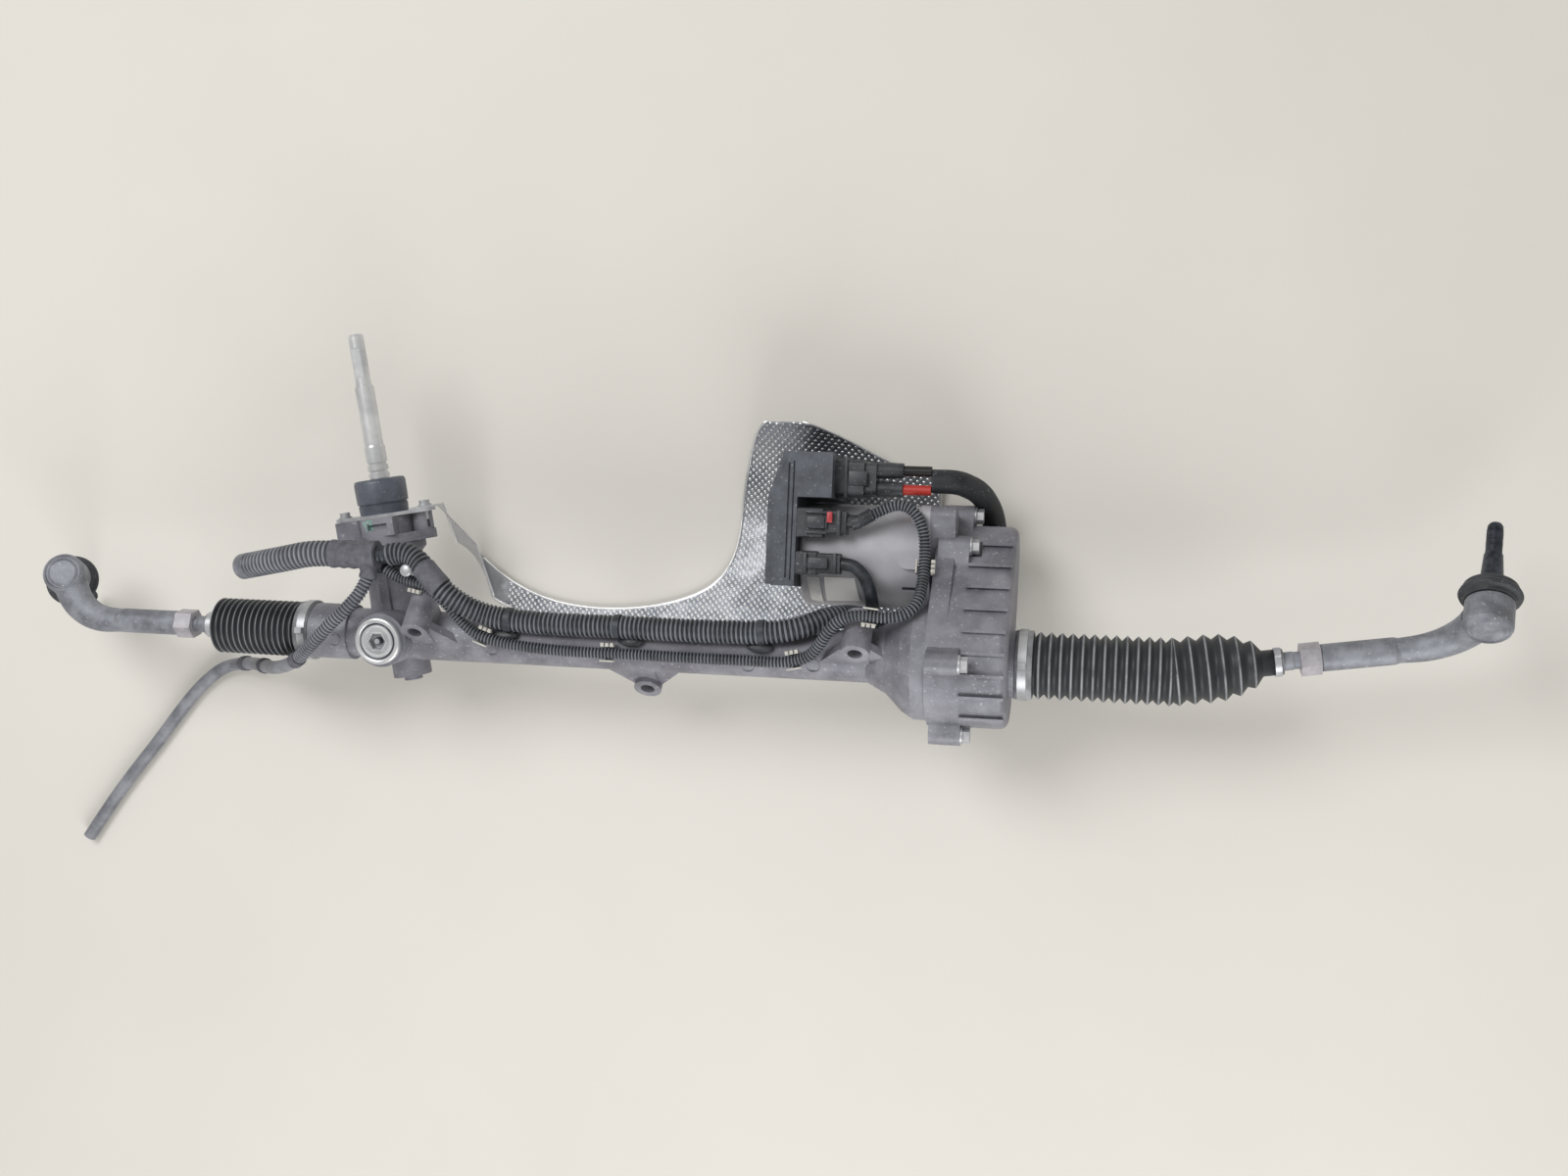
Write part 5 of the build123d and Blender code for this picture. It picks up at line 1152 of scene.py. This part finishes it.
# Round the pin, a thin dark ring sits low in the groove between the raised rings as painted shade.
lathe(dark, [(15.8, 40.0), (15.8, 40.4), (14.7, 40.4), (14.7, 40.0)], 48, True)
pin_and_shade_model = mesh_object("plug_pin_model", dark)
copies("plug_pin", pin_and_shade_model, [yoke_frame], dark_steel)

# %% [markdown]
# A dust boot joins each rod end to the collar of its stud, so it bends between the two. Its
# solid is copied and merged, as the bellows are. The thread of each stud is a fine spiral.
# The joint that spins the stud gives the thread its place and its direction.

# %% Dust boots and threads


def thread_tree(name, material):
    """A spiral ridge: a small square on its corner, swept along a helix."""
    tree, given = start_tree(name, ("Radius", "Height", "Turns", "Ridge"))
    spiral = {"Resolution": 28, "Rotations": given["Turns"], "Height": given["Height"]}
    spiral |= {"Start Radius": given["Radius"], "End Radius": given["Radius"]}
    helix = add_node(tree, "GeometryNodeCurveSpiral", inputs=spiral)
    section = {"Resolution": 4, "Radius": given["Ridge"]}
    ridge = add_node(tree, "GeometryNodeCurvePrimitiveCircle", inputs=section)
    sweep = {"Curve": helix, "Profile Curve": ridge, "Fill Caps": True}
    return end_tree(tree, add_node(tree, "GeometryNodeCurveToMesh", inputs=sweep), material)


def thread(name, frame_at, radius_mm, length_mm, pitch_mm, material, body):
    """A thread of a given pitch, standing in a frame and riding on a body."""
    host = new_object(name + "_host", bpy.data.meshes.new(name + "_host"))
    values = {
        "Radius": radius_mm * MM,
        "Height": length_mm * MM,
        "Turns": length_mm / pitch_mm,
        "Ridge": 0.45 * pitch_mm * MM,
    }
    piece = apply_tree(host, thread_tree(name + "_tree", material), values, name)
    piece.data.transform(frame_at)
    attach(piece, body)
    return piece


BOOT_FROM, BOOT_TO, THREAD_FROM = 13.5, 27.5, 58
for side in ("left", "right"):
    joint = joints[side + "_stud_spin"]
    centre = Vector(joint["pos_m"])
    stud_way = Vector(joint["axis"]).normalized()
    boot = merged_copy(side + "_boot", side + "_dust_boot")
    boot.data.materials.clear()
    boot.data.materials.append(boot_rubber)
    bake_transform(boot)
    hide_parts(side + "_boot")
    foot = frame_on(centre + stud_way * THREAD_FROM * MM, stud_way)
    thread(side + "_stud_thread", foot, 5.7, 24, 1.5, dark_steel, side + "_stud")

# %% [markdown]
# The loose branch is tied at three places with knots of tape. Each is a short sweep with
# three shallow rings, on the same centreline as the branch.

# %% Knots and tape on the loose branch
KNOT_HALF_WIDTH = 5
for number, knot in enumerate(((-310, -29, 22), (-374, -38, -38), (-417, -39, -80))):
    step = nearest_step(loose_line, place(*knot))
    spot = length_of(loose_line[: step + 1]) / MM
    reach = (spot - KNOT_HALF_WIDTH, spot + KNOT_HALF_WIDTH)
    band(f"tape_knot_{number}", loose_line, *reach, 7.2, cloth_tape, 3.4, 0.5)

# %% [markdown]
# The floor is a large pale sheet, just under the lowest piece. Soft light comes from one big
# lamp high on the far left and a wider one low in front, and the floor keeps a soft shadow.

# %% Floor, lamps and world
FLOOR_REACH = 6.0
floor_z = min(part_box(name)[0].z for name in nodes)
floor_mesh = bpy.data.meshes.new("floor")
quarters = ((-1, -1), (1, -1), (1, 1), (-1, 1))
corners = [(x * FLOOR_REACH, y * FLOOR_REACH, floor_z) for x, y in quarters]
floor_mesh.from_pydata(corners, [], [(0, 1, 2, 3)])
floor = new_object("floor", floor_mesh)
floor_paper = surface("floor_paper", "DFDCD6", "E3E0DA", 500, 0, (0.75, 0.85))
floor_mesh.materials.append(floor_paper)


def lamp(name, spot, size, watts):
    """A round soft lamp that looks at the rack."""
    data = bpy.data.lights.new(name, "AREA")
    data.shape = "DISK"
    data.size = size
    data.energy = watts
    holder = new_object(name, data)
    holder.location = spot
    aim = Vector((0.1, axis_y, axis_z)) - Vector(spot)
    holder.rotation_euler = aim.to_track_quat("-Z", "Y").to_euler()
    print(name, "lamp", watts, "W")


lamp("key", (-0.9, 1.1, 2.2), 1.4, 30)
lamp("fill", (0.7, -2.0, 1.2), 1.8, 34)
world = bpy.data.worlds.new("studio")
bpy.context.scene.world = world
world.use_nodes = True
background = world.node_tree.nodes["Background"]
background.inputs["Color"].default_value = linear("E6E4DF")
background.inputs["Strength"].default_value = 0.58
bpy.context.scene.view_settings.view_transform = "Standard"
